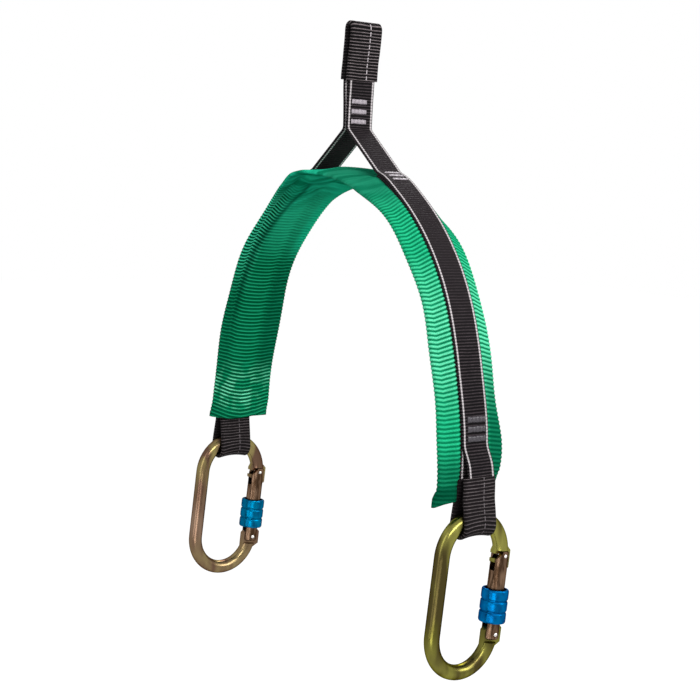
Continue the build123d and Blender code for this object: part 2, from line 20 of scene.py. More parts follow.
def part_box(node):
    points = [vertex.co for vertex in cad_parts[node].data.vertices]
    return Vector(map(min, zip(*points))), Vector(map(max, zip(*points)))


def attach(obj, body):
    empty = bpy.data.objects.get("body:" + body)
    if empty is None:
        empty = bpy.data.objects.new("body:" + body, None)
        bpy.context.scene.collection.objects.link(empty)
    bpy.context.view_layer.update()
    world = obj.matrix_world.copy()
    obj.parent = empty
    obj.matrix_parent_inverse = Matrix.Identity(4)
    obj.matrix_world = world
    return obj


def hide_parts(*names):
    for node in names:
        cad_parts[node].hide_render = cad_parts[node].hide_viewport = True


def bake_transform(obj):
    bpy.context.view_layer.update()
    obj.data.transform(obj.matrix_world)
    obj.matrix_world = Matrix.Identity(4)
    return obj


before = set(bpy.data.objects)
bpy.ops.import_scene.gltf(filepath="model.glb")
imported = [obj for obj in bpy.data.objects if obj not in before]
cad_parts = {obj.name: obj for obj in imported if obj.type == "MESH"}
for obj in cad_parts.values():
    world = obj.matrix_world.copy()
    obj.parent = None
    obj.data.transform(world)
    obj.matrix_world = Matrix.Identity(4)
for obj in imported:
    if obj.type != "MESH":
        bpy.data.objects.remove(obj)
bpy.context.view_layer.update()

LOG = logging.getLogger("web_sling")
Array = np.ndarray
Socket = bpy.types.NodeSocket
Material = bpy.types.Material
Pair = tuple[float, float]
Triple = tuple[float, float, float]
Colour = Triple
Value = Socket | float
Tint = Socket | Colour
Spots = tuple[tuple[Pair, Pair], ...]
BAND_SOLID = 0.003  # thickness of the band's solid
LINING = 0.1  # how much further across the cloth map the face inside an eye starts
STEM_REACH = 0.010  # the top eye and the stem lie within this of the middle


class Side(Enum):
    """The two ends of the span."""

    LEFT = -1
    RIGHT = 1

    @property
    def word(self) -> str:
        """The side's name as the model's nodes and bodies spell it."""
        return self.name.lower()

    def mirror(self, spots: Spots) -> Spots:
        """Takes spots found on the right leg to this side."""
        flip = self.value
        return tuple(((flip * x, z), (flip * right, up)) for (x, z), (right, up) in spots)


# ---- Surfaces ---------------------------------------------------------------------------------------


def smooth(low: float, high: float, value: Array) -> Array:
    """Eases from 0 at low to 1 at high: 3t^2 - 2t^3 of the clipped share t."""
    t = np.clip((value - low) / (high - low), 0.0, 1.0)
    return t * t * (3.0 - 2.0 * t)


def hump(middle: float, spread: float, value: Array) -> Array:
    """Bell curve of height 1: e to the power of minus half the squared distance in spreads."""
    return np.exp(-0.5 * ((value - middle) / spread) ** 2)


def run_length(line: Array) -> Array:
    """Running length of a polyline at each of its points."""
    return np.concatenate([[0.0], np.cumsum(np.linalg.norm(np.diff(line, axis=0), axis=1))])


def resample(line: Array, step: float) -> Array:
    """Places points evenly along a polyline.

    Args:
        line: Points, one per row.
        step: Distance between two new points.

    Returns:
        The new points, first and last kept: each is read off at its share of the running length.
    """
    line = line[np.concatenate([[True], np.diff(run_length(line)) > 1e-9])]
    run = run_length(line)
    at = np.linspace(0.0, run[-1], max(int(round(run[-1] / step)), 2) + 1)
    return np.stack([np.interp(at, run, line[:, k]) for k in range(line.shape[1])], axis=1)


def relax(line: Array, step: float, spread: float) -> Array:
    """Rounds the corners of an evenly spaced polyline by a running mean with bell-curve weights.

    Args:
        line: Rows of (x, z).
        step: Distance between them.
        spread: Of the bell curve.

    Returns:
        As many points. Past each end the line goes on as its own half turn, so the ends stay put.
    """
    reach = int(np.ceil(3 * spread / step))
    weight = hump(0.0, spread, np.arange(-reach, reach + 1) * step)
    weight /= weight.sum()
    before = 2 * line[0] - line[reach:0:-1]
    after = 2 * line[-1] - line[-2 : -reach - 2 : -1]
    padded = np.concatenate([before, line, after])
    return np.stack([np.convolve(padded[:, k], weight, mode="valid") for k in range(2)], axis=1)


def flat_section(width: float, thick: float, edge: float, count: int) -> Array:
    """Closed outline of a flat woven strap, counted round once.

    Args:
        width: Across the strap.
        thick: Through the strap.
        edge: How far in from each selvedge the rounding starts.
        count: Points across each face.

    Returns:
        Rows of (across, lift): two straight faces joined by half ellipses.
    """
    across = np.linspace(-width / 2 + edge, width / 2 - edge, count)
    turn = np.radians(np.array([67.5, 45.0, 22.5, 0.0, -22.5, -45.0, -67.5]))
    right = np.stack([width / 2 - edge + edge * np.cos(turn), thick / 2 * np.sin(turn)], axis=1)
    top = np.stack([across, np.full(count, thick / 2)], axis=1)
    return np.concatenate([top, right, top[::-1] * [1, -1], right[::-1] * [-1, 1]])


def add_object(name: str, data: bpy.types.ID) -> bpy.types.Object:
    """Makes an object and links it to the scene.

    Args:
        name: Its name.
        data: Its mesh, lamp or camera.

    Returns:
        The object.
    """
    made = bpy.data.objects.new(name, data)
    bpy.context.scene.collection.objects.link(made)
    return made


def add_cloth(name: str, points: Array, faces: list[list[int]], cloth: Array) -> bpy.types.Object:
    """Makes a smooth mesh object with a cloth map.

    Args:
        name: The object's name.
        points: Corners, with x, y and z last.
        faces: Corner numbers of each face.
        cloth: Metres along and across the cloth, for each corner of each face in turn.

    Returns:
        The object, linked to the scene, with no body yet.
    """
    mesh = bpy.data.meshes.new(name)
    mesh.from_pydata(points.reshape(-1, 3).tolist(), [], faces)
    mesh.uv_layers.new(name="Cloth").data.foreach_set("uv", cloth.ravel().astype(np.float32))
    mesh.polygons.foreach_set("use_smooth", np.ones(len(faces), dtype=bool))
    mesh.validate()
    mesh.update()
    return add_object(name, mesh)


@dataclass
class Surface:
    """A mesh in the making: a grid of points with cloth coordinates, closed round its rows.

    Attributes:
        points: Array (rows, columns, 3), in metres.
        cloth: Array (rows, columns + 1, 2), metres along and across the cloth.
        looped: True if the last row joins the first, and False if each end gets a cap.
    """

    points: Array
    cloth: Array
    looped: bool = False

    def build(self, name: str) -> bpy.types.Object:
        """Makes the mesh object, with its faces outward: their volume decides which way they turn.

        Args:
            name: The object's name.

        Returns:
            The object, linked to the scene, with no body yet.
        """
        rows, columns = self.points.shape[:2]
        row = np.repeat(np.arange(rows if self.looped else rows - 1), columns)
        column = np.tile(np.arange(columns), len(row) // columns)
        above, beside, after = (row + 1) % rows, (column + 1) % columns, column + 1
        corners = ((row, column), (row, beside), (above, beside), (above, column))
        quads = np.stack([r * columns + c for r, c in corners], axis=1)
        on_cloth = ((row, column), (row, after), (above, after), (above, column))
        maps = np.stack([self.cloth[r, c] for r, c in on_cloth], axis=1)
        a, b, c, d = (self.points.reshape(-1, 3)[quads[:, k]] for k in range(4))
        inside = np.einsum("ij,ij->i", a, np.cross(b, c) + np.cross(c, d)).sum() < 0
        if inside:
            quads, maps = quads[:, ::-1], maps[:, ::-1]
        faces = quads.tolist()
        cloth = [maps.reshape(-1, 2)]
        if not self.looped:
            ring = np.arange(columns)
            first, final = (ring, ring[::-1]) if inside else (ring[::-1], ring)
            for end, cap in ((0, first), (rows - 1, final)):
                faces.append((cap + end * columns).tolist())
                cloth.append(self.cloth[end, cap])
        return add_cloth(name, self.points, faces, np.concatenate(cloth))


# ---- Materials --------------------------------------------------------------------------------------


class Graph:
    """A material's node tree with short calls for the nodes that the finishes share."""

    def __init__(self, name: str) -> None:
        """Starts a material that holds one Principled shader.

        Args:
            name: The material's name.
        """
        self.material = bpy.data.materials.new(name)
        self.material.use_nodes = True
        self.tree = self.material.node_tree
        self.shader = self.tree.nodes["Principled BSDF"]

    def node(self, kind: str, **values: object) -> bpy.types.Node:
        """Adds a node.

        Args:
            kind: The node's type.
            values: Its properties by name.

        Returns:
            The node.
        """
        made = self.tree.nodes.new(kind)
        for key, value in values.items():
            setattr(made, key, value)
        return made

    def join(self, source: Value | Tint, target: Socket) -> None:
        """Feeds a socket.

        Args:
            source: A socket to link, or a plain value to set.
            target: The socket it goes into.
        """
        if isinstance(source, Socket):
            self.tree.links.new(source, target)
        else:
            target.default_value = source

    def math(self, operation: str, *inputs: Value) -> Socket:
        """Adds a Math node.

        Args:
            operation: The node's operation.
            inputs: Its inputs in order.

        Returns:
            Its result.
        """
        made = self.node("ShaderNodeMath", operation=operation)
        for slot, value in zip(made.inputs, inputs):
            self.join(value, slot)
        return made.outputs[0]

    def product(self, *shares: Value) -> Socket:
        """Multiplies shares."""
        return reduce(lambda first, second: self.math("MULTIPLY", first, second), shares)

    def strongest(self, *shares: Value) -> Socket:
        """Returns the highest of several shares."""
        return reduce(lambda first, second: self.math("MAXIMUM", first, second), shares)

    def cloth(self) -> tuple[Socket, Socket]:
        """Reads the piece's cloth map.

        Returns:
            The metres along and across the cloth.
        """
        uv = self.node("ShaderNodeUVMap", uv_map="Cloth")
        split = self.node("ShaderNodeSeparateXYZ")
        self.join(uv.outputs[0], split.inputs[0])
        return split.outputs[0], split.outputs[1]

    def place(self) -> Socket:
        """Returns the point's place in the model's frame."""
        return self.node("ShaderNodeTexCoord").outputs["Object"]

    def height(self) -> Socket:
        """Reads the height in the model's frame.

        Returns:
            The height in metres.
        """
        split = self.node("ShaderNodeSeparateXYZ")
        self.join(self.place(), split.inputs[0])
        return split.outputs[2]

    def noise(self, scale: float, detail: float, vector: Socket | None = None) -> Socket:
        """Adds noise.

        Args:
            scale: Cells per metre.
            detail: How many times finer cells are added.
            vector: Coordinates, or the model's frame if left out.

        Returns:
            Values between 0 and 1.
        """
        made = self.node("ShaderNodeTexNoise")
        made.inputs["Scale"].default_value = scale
        made.inputs["Detail"].default_value = detail
        self.join(self.place() if vector is None else vector, made.inputs["Vector"])
        return made.outputs["Fac"]

    def cells(self, x: Value, y: Value, detail: float) -> Socket:
        """Adds noise in cells of a shape of their own.

        Args:
            x: Cells along the cloth.
            y: Cells across it.
            detail: How many times finer cells are added.

        Returns:
            Values between 0 and 1.
        """
        made = self.node("ShaderNodeCombineXYZ")
        self.join(x, made.inputs[0])
        self.join(y, made.inputs[1])
        return self.noise(1.0, detail, made.outputs[0])

    def span(self, value: Value, low: Value, high: Value, to: Pair) -> Socket:
        """Maps a range to another in a straight line, and holds the ends beyond it.

        Args:
            value: What is mapped.
            low: Where the first range starts.
            high: Where it ends.
            to: The new range.

        Returns:
            The mapped value.
        """
        made = self.node("ShaderNodeMapRange")
        for slot, number in zip(made.inputs, (value, low, high, *to)):  # value, from, from, to, to
            self.join(number, slot)
        return made.outputs[0]

    def ramp(self, value: Value, low: Value, high: Value, top: float = 1.0) -> Socket:
        """Rises from 0 at low to its top at high."""
        return self.span(value, low, high, (0.0, top))

    def blend(self, share: Value, first: Tint, second: Tint) -> Socket:
        """Mixes two colours.

        Args:
            share: Share of the second.
            first: The first colour.
            second: The second colour.

        Returns:
            The mixed colour.
        """
        made = self.node("ShaderNodeMix", data_type="RGBA")
        for slot, value in zip((made.inputs[0], made.inputs[6], made.inputs[7]), (share, first, second)):
            if isinstance(value, tuple):
                value = (*value, 1.0)
            self.join(value, slot)
        return made.outputs[2]

    def bump(self, height: Value, distance: float) -> None:
        """Bends the shader's normal by a relief.

        Args:
            height: The relief, from 0 to 1.
            distance: What its 1 stands for in metres.
        """
        made = self.node("ShaderNodeBump")
        made.inputs["Strength"].default_value = 1.0
        made.inputs["Distance"].default_value = distance
        self.join(height, made.inputs["Height"])
        self.join(made.outputs[0], self.shader.inputs["Normal"])

    def wave(self, along: Value, pitch: float, phase: float = 0.0) -> Socket:
        """Returns a wave between 0 and 1 that repeats every pitch metres."""
        turned = self.math("MULTIPLY_ADD", along, 2 * np.pi / pitch, phase)
        return self.math("MULTIPLY_ADD", self.math("SINE", turned), 0.5, 0.5)

    def finish(self, values: dict[str, Value | Tint]) -> Material:
        """Feeds the shader.

        Args:
            values: What goes into each input, by its name.

        Returns:
            The finished material.
        """
        for name, value in values.items():
            self.join(value, self.shader.inputs[name])
        return self.material


@dataclass(frozen=True)
class Weave:
    """Finish of a woven strap: ribs across it, fine threads along it and any marker threads.

    Attributes:
        name: The material's name.
        ridge: Colour on top of a rib: the yarn's own, lightened by a painted sheen.
        groove: Colour between ribs: the yarn's own, darkened by painted shade.
        rib: Distance from rib to rib.
        relief: Height of the ribs in the bump.
        crisp: How narrow the bright tops of the ribs are.
        thread: Distance between the fine threads that run along the strap.
        tracers: Places across the strap of marker threads.
        tracer_width: Width of a marker thread.
        tracer_pitch: Distance between a marker thread's stitches.
        tracer_colour: Colour of a marker thread.
        tracer_gap: How bright a marker thread stays between two stitches.
        roughness: Of the shader.
        gloss: The shader's specular level.
        pulled: Heights between which the strap is pulled smooth, if it is.
        lining: How bright the face inside an eye is, next to the outer one: painted shade.
        calm: How bright a strap is that is pulled smooth.
        wander: Cells per metre of the noise that bends the ribs.
        uneven: Noises that vary the brightness: cells per metre, detail, levels, and what they map to.
    """

    name: str
    ridge: Colour
    groove: Colour
    rib: float
    relief: float
    crisp: float = 1.4
    thread: float = 0.0005
    tracers: tuple[float, ...] = ()
    tracer_width: float = 0.0009
    tracer_pitch: float = 0.002
    tracer_colour: Colour = (0.62, 0.58, 0.60)
    tracer_gap: float = 0.35
    roughness: float = 0.7
    gloss: float = 0.25
    pulled: Pair | None = None
    lining: float = 1.0
    calm: float = 0.26
    wander: float = 60.0
    uneven: tuple[tuple[float, float, Pair, Pair], ...] = (
        (900.0, 3.0, (0.3, 0.7), (0.6, 1.2)),
        (110.0, 2.0, (0.35, 0.65), (0.7, 1.1)),
    )

    def material(self) -> Material:
        """Makes the material. Ribs are a sine along the cloth, threads a finer sine across it.

        Returns:
            The material.
        """
        g = Graph(self.name)
        along, across = g.cloth()
        rib = g.wave(g.math("MULTIPLY_ADD", g.noise(self.wander, 2.0), self.rib * 0.5, along), self.rib)
        thread = g.wave(across, self.thread)
        shade = g.product(g.math("POWER", rib, self.crisp), g.span(thread, 0, 1, (0.75, 1.0)))
        for scale, detail, levels, to in self.uneven:
            shade = g.product(shade, g.span(g.noise(scale, detail), *levels, to))
        if self.pulled:
            high, low = self.pulled
            below = g.ramp(g.height(), high, high - 0.012, 0.75)
            share = g.product(below, g.ramp(g.height(), low, low + 0.060))
            shade = g.math("MULTIPLY_ADD", g.math("SUBTRACT", self.calm, shade), share, shade)
        # Painted shade: the face inside an eye, on its own strip of the cloth map, is darkened to the
        # lining share.
        shade = g.product(shade, g.span(across, 0.4 * LINING, 0.7 * LINING, (1.0, self.lining)))
        # Painted light and shade: the groove colour stands for shade between ribs, the ridge colour for
        # sheen on their tops.
        colour = g.blend(shade, self.groove, self.ridge)
        height = g.math("MULTIPLY_ADD", thread, 0.12, rib)
        for place in self.tracers:
            off = g.math("ABSOLUTE", g.math("SUBTRACT", across, place))
            line = g.span(off, self.tracer_width * 0.38, self.tracer_width * 0.6, (1.0, 0.0))
            stitch = g.span(g.wave(along, self.tracer_pitch, 0.8), 0.12, 0.5, (self.tracer_gap, 1.0))
            mark = g.product(line, stitch)
            colour = g.blend(mark, colour, self.tracer_colour)
            height = g.math("MULTIPLY_ADD", mark, 0.5, height)
        g.bump(height, self.relief)
        return g.finish(
            {"Base Color": colour, "Roughness": self.roughness, "Specular IOR Level": self.gloss}
        )


@dataclass(frozen=True)
class Patch:
    """A part of the band's cloth with painted light or shade, which ramps fade in and out.

    Attributes:
        share: How much of the tint shows where every ramp is full.
        along: Ramps along the band, each from where there is no tint to where it is full.
        across: The same across the band.
        tint: Its colour: that of a shadow, unless another is named.
    """

    share: float
    along: tuple[Pair, ...] = ()
    across: tuple[Pair, ...] = ()
    tint: Colour = (0.000, 0.050, 0.024)

    def mask(self, g: Graph, cloth: tuple[Socket, Socket]) -> Socket:
        """Finds where the tint shows.

        Args:
            g: The material's nodes.
            cloth: Metres along and across the cloth.

        Returns:
            The product of the share and every ramp.
        """
        ramps = [g.ramp(cloth[0], *ends) for ends in self.along]
        ramps += [g.ramp(cloth[1], *ends) for ends in self.across]
        return g.product(self.share, *ramps)


@dataclass(frozen=True)
class BandWeave:
    """Finish of the green band, whose ribs are in its shape: painted shade between ribs, painted highlights
    on some rib tops.

    Each pair of colours is what a noise or the side of the band mixes.

    Attributes:
        name: The material's name.
        rib: Distance from rib to rib.
        thread: Distance between the fine threads that run along the band.
        relief: Their height in the bump.
        groove: Between ribs, with painted shade: on the shaded left leg and on the lit right one.
            shaded_left, lit_right: On the left leg's ribs, painted darker as in shade, and on the right
                leg's, painted lighter as lit.
        pale: A painted highlight on some rib tops.
        crown: Where the cloth is smooth over the crown, mixed by a painted sheen.
        shine: The same on its left slope, which faces the light.
        streak: Of faint streaks across the band.
        lit: The left leg's top, which faces the light.
        wing: A painted highlight on the tops of the ribs on its near wing.
        rim: A painted highlight along the edge of its far wing.
        valley: The narrow shadow down its middle.
        shadows: Low on the right leg's far wing; on its far wing at the shoulder; its last ribs; the
            left and right hems; the left leg's near and far sides.
    """

    name: str
    rib: float
    thread: float = 0.0007
    relief: float = 0.00010
    groove: tuple[Colour, Colour] = ((0.000, 0.086, 0.034), (0.002, 0.180, 0.076))
    shaded_left: tuple[Colour, Colour] = ((0.007, 0.322, 0.142), (0.018, 0.425, 0.203))
    lit_right: tuple[Colour, Colour] = ((0.012, 0.430, 0.195), (0.028, 0.560, 0.275))
    pale: Colour = (0.190, 0.860, 0.520)
    crown: tuple[Colour, Colour] = ((0.006, 0.195, 0.100), (0.018, 0.300, 0.165))
    shine: tuple[Colour, Colour] = ((0.002, 0.260, 0.130), (0.020, 0.640, 0.370))
    streak: Colour = (0.012, 0.50, 0.25)
    lit: Patch = Patch(0.72, ((-0.040, -0.060), (-0.135, -0.085)), tint=(0.030, 0.680, 0.380))
    wing: Patch = Patch(
        0.75, ((-0.165, -0.125), (-0.050, -0.075)), ((-0.006, -0.011),), tint=(0.090, 0.920, 0.560)
    )
    rim: Patch = Patch(
        0.80, ((-0.135, -0.110), (-0.004, -0.020)), ((0.0180, 0.0215),), tint=(0.012, 0.560, 0.300)
    )
    valley: Patch = Patch(0.70, ((-0.220, -0.170), (-0.035, -0.060)))
    shadows: tuple[Patch, ...] = (
        Patch(0.72, ((0.170, 0.220),), ((0.010, 0.015),)),
        Patch(0.55, ((0.110, 0.080), (0.030, 0.050)), ((0.009, 0.013),)),
        Patch(0.62, ((0.234, 0.250),)),
        Patch(0.35, ((-0.254, -0.262),)),
        Patch(0.82, ((0.2560, 0.2605),)),
        Patch(0.32, ((-0.140, -0.170), (-0.245, -0.215)), ((-0.008, -0.014),)),
        Patch(0.50, ((-0.125, -0.150), (-0.245, -0.215)), ((0.010, 0.017),)),
    )

    def material(self) -> Material:
        """Makes the material: ribs, the smooth crown over them, a lit rim and the shaded parts.

        Returns:
            The material.
        """
        g = Graph(self.name)
        along, across = cloth = g.cloth()
        reach = g.math("MULTIPLY_ADD", g.math("ABSOLUTE", across), 0.7, g.math("ABSOLUTE", along))
        colour = g.blend(g.ramp(reach, 0.058, 0.092), self._smooth(g, cloth), self._ribbed(g, cloth))
        # Painted highlight along the left leg's far edge.
        colour = g.blend(self.rim.mask(g, cloth), colour, self.rim.tint)
        shaded = g.strongest(self._valley(g, cloth), *(patch.mask(g, cloth) for patch in self.shadows))
        colour = g.blend(shaded, colour, self.valley.tint)
        g.bump(g.math("MULTIPLY_ADD", g.wave(across, self.thread), 0.5, g.noise(1500.0, 2.0)), self.relief)
        return g.finish({"Base Color": colour, "Roughness": 0.60, "Specular IOR Level": 0.0})

    def _ribbed(self, g: Graph, cloth: tuple[Socket, Socket]) -> Socket:
        """Colours the ribs: a wave along the cloth paints shade in the grooves, and painted light picks out
        the tops.

        Args:
            g: The material's nodes.
            cloth: Metres along and across the cloth.

        Returns:
            The colour.
        """
        along, across = cloth
        # Painted light and shade: the right leg gets the lit colours and wide bright rib tops, the left leg
        # the shaded colours and narrow ones.
        lit_right = g.ramp(along, -0.03, 0.03)
        low, high = g.span(lit_right, 0, 1, (0.50, 0.18)), g.span(lit_right, 0, 1, (1.0, 0.85))
        top = g.ramp(g.wave(along, self.rib), low, high)
        grain = g.noise(45.0, 3.0)
        body = g.blend(lit_right, g.blend(grain, *self.shaded_left), g.blend(grain, *self.lit_right))
        # Painted highlight: rib tops turn pale where the lamp's reflection would fall.
        body = g.blend(self._painted_highlights(g, along), body, self.pale)
        colour = g.blend(top, g.blend(lit_right, *self.groove), body)
        streaks = g.cells(g.product(along, 300.0), g.product(across, 60.0), 3.0)
        colour = g.blend(g.ramp(streaks, 0.50, 0.80, 0.20), colour, self.streak)
        beyond_wing = g.ramp(across, -0.010, -0.002, 0.8)
        lit = g.product(self.lit.mask(g, cloth), g.strongest(top, beyond_wing))
        colour = g.blend(lit, colour, self.lit.tint)
        # Painted highlight on the tops of the near wing's ribs.
        return g.blend(g.product(self.wing.mask(g, cloth), top), colour, self.wing.tint)

    @staticmethod
    def _painted_highlights(g: Graph, along: Socket) -> Socket:
        """Finds where highlights are painted on the rib tops: by height on the right leg, and in patches
        low on the left one.

        Args:
            g: The material's nodes.
            along: Metres along the cloth.

        Returns:
            How pale they are, from 0 to 1.
        """
        height = g.height()
        right = g.product(g.ramp(height, -0.248, -0.215, 0.60), g.ramp(height, -0.145, -0.180))
        right = g.product(right, g.ramp(along, 0.06, 0.11))
        patch = g.ramp(g.noise(85.0, 1.0), 0.42, 0.55)
        left = g.product(patch, g.ramp(along, -0.216, -0.236), g.ramp(along, -0.258, -0.248))
        return g.strongest(right, left)

    def _smooth(self, g: Graph, cloth: tuple[Socket, Socket]) -> Socket:
        """Colours the crown: painted sheen in long cells that slant over the band, painted brighter on its
        left slope, which faces the light.

        Args:
            g: The material's nodes.
            cloth: Metres along and across the cloth.

        Returns:
            The colour.
        """
        along, across = cloth
        slanted = g.product(g.math("MULTIPLY_ADD", across, -0.9, along), 130.0)
        sheen = g.ramp(g.cells(slanted, g.product(across, 22.0), 2.0), 0.42, 0.62)
        left = g.ramp(along, 0.002, -0.016)
        return g.blend(left, g.blend(sheen, *self.crown), g.blend(sheen, *self.shine))

    def _valley(self, g: Graph, cloth: tuple[Socket, Socket]) -> Socket:
        """Finds the narrow shadow that runs down the left leg's middle, a little aslant.

        Args:
            g: The material's nodes.
            cloth: Metres along and across the cloth.

        Returns:
            Its share, which falls off in a straight line to both sides.
        """
        along, across = cloth
        shift = g.span(along, -0.125, -0.060, (0.0072, 0.0005))
        off = g.math("MULTIPLY_ADD", along, -0.030, g.math("ADD", across, shift))
        return g.product(self.valley.mask(g, cloth), g.ramp(g.math("ABSOLUTE", off), 0.0032, 0.0))


@dataclass(frozen=True)
class Thread:
    """Finish of a bar tack: glossy satin stitches, dark between them.

    Attributes:
        name: The material's name.
        colour: Colour of the thread.
        pitch: Distance between stitches.
    """

    name: str
    colour: Colour
    pitch: float = 0.0007

    def material(self) -> Material:
        """Makes the material. A wave along the bar darkens the gaps between stitches.

        Returns:
            The material.
        """
        g = Graph(self.name)
        stitch = g.wave(g.cloth()[0], self.pitch)
        patch = g.span(g.noise(420.0, 2.0), 0.35, 0.65, (0.70, 1.0))
        dark = tuple(0.5 * c for c in self.colour)
        g.bump(stitch, 0.00012)
        colour = g.blend(g.product(stitch, patch), dark, self.colour)
        return g.finish({"Base Color": colour, "Roughness": 0.38})


@dataclass(frozen=True)
class Metal:
    """Finish of a metal piece: a tint that drifts, a satin to polished skin and fine marks.

    Attributes:
        name: The material's name.
        first: Main tint.
        second: The tint it drifts to.
        roughness: Lowest and highest roughness.
        drift: Cells per metre of the tint's drift.
        stretch: Share of those cells upright, so that the drift makes long streaks.
        marks: Height of the fine marks.
        bend: The main tint on the rod's bends, if it differs there: a painted highlight.
        turn, foot: Heights above and below which the rod bends.
        rim: Share of the gloss that is left where the skin turns away.
    """

    name: str
    first: Colour
    second: Colour
    roughness: Pair = (0.22, 0.36)
    drift: float = 90.0
    stretch: float = 0.22
    marks: float = 0.000003
    bend: Colour | None = None
    turn: float = -0.345
    foot: float = -0.388
    rim: float = 0.35

    def material(self) -> Material:
        """Makes the material: its tint drifts in long upright streaks, and its skin in small cells.

        Returns:
            The material.
        """
        g = Graph(self.name)
        long = g.node("ShaderNodeMapping")
        g.join(g.place(), long.inputs["Vector"])
        long.inputs["Scale"].default_value = (1.0, 1.0, self.stretch)
        slow = g.ramp(g.noise(self.drift, 2.0, long.outputs[0]), 0.38, 0.62)
        # Painted highlight: the rod's top and bottom bends take the paler bend tint.
        high = g.ramp(g.height(), self.turn - 0.012, self.turn + 0.010)
        low = g.ramp(g.height(), self.foot + 0.010, self.foot - 0.008, 0.6)
        first = g.blend(g.strongest(high, low), self.first, self.bend or self.first)
        g.bump(g.noise(1800.0, 3.0), self.marks)
        return g.finish(
            {
                "Base Color": g.blend(slow, first, self.second),
                "Roughness": g.span(g.noise(260.0, 3.0), 0.3, 0.7, self.roughness),
                "Metallic": 1.0,
                "Specular Tint": (self.rim, self.rim, self.rim, 1.0),
            }
        )


# ---- Soft goods -------------------------------------------------------------------------------------


@dataclass(frozen=True)
class Arch:
    """Middle line of the band: tangent arcs from the crown down each leg.

    Attributes:
        crown: Height of the crown.
        arcs: Radius and sweep in degrees of each arc.
    """

    crown: float
    arcs: tuple[Pair, ...] = ((0.108, 40.0), (0.154, 31.0), (0.305, 19.0))

    @property
    def half(self) -> float:
        """Length of one leg: the sum of each radius times its sweep."""
        return sum(radius * np.radians(sweep) for radius, sweep in self.arcs)

    def at(self, along: Array, lift: Array) -> tuple[Array, Array]:
        """Finds points on the arch.

        The line turns evenly along each arc and hangs straight past the last. Its place is the
        running sum of its direction, and the lift goes square to it.

        Args:
            along: Distance from the crown, negative on the left leg.
            lift: Distance outward from the middle line.

        Returns:
            The points' x and z.
        """
        bends = np.cumsum([0.0] + [radius * np.radians(sweep) for radius, sweep in self.arcs])
        turns = np.radians(np.cumsum([0.0] + [sweep for _, sweep in self.arcs]))
        run = np.linspace(0.0, self.half + 0.04, 6000)
        turn = np.interp(run, bends, turns)
        step = run[1] - run[0]
        middle = (turn[1:] + turn[:-1]) / 2
        x = np.concatenate([[0.0], np.cumsum(np.cos(middle)) * step])
        z = self.crown - np.concatenate([[0.0], np.cumsum(np.sin(middle)) * step])
        far = np.abs(along)
        facing = np.interp(far, run, turn)
        side = np.where(along < 0, -1.0, 1.0)
        return (
            side * (np.interp(far, run, x) + lift * np.sin(facing)),
            np.interp(far, run, z) + lift * np.cos(facing),
        )

    def length_to(self, height: float, lift: float) -> float:
        """Finds where a leg has come down to a height.

        Args:
            height: The height.
            lift: Distance outward from the middle line.

        Returns:
            Distance from the crown, measured on the middle line.
        """
        run = np.linspace(0.0, self.half, 2000)
        _, z = self.at(run, np.full_like(run, lift))
        return float(np.interp(-height, -z, run))


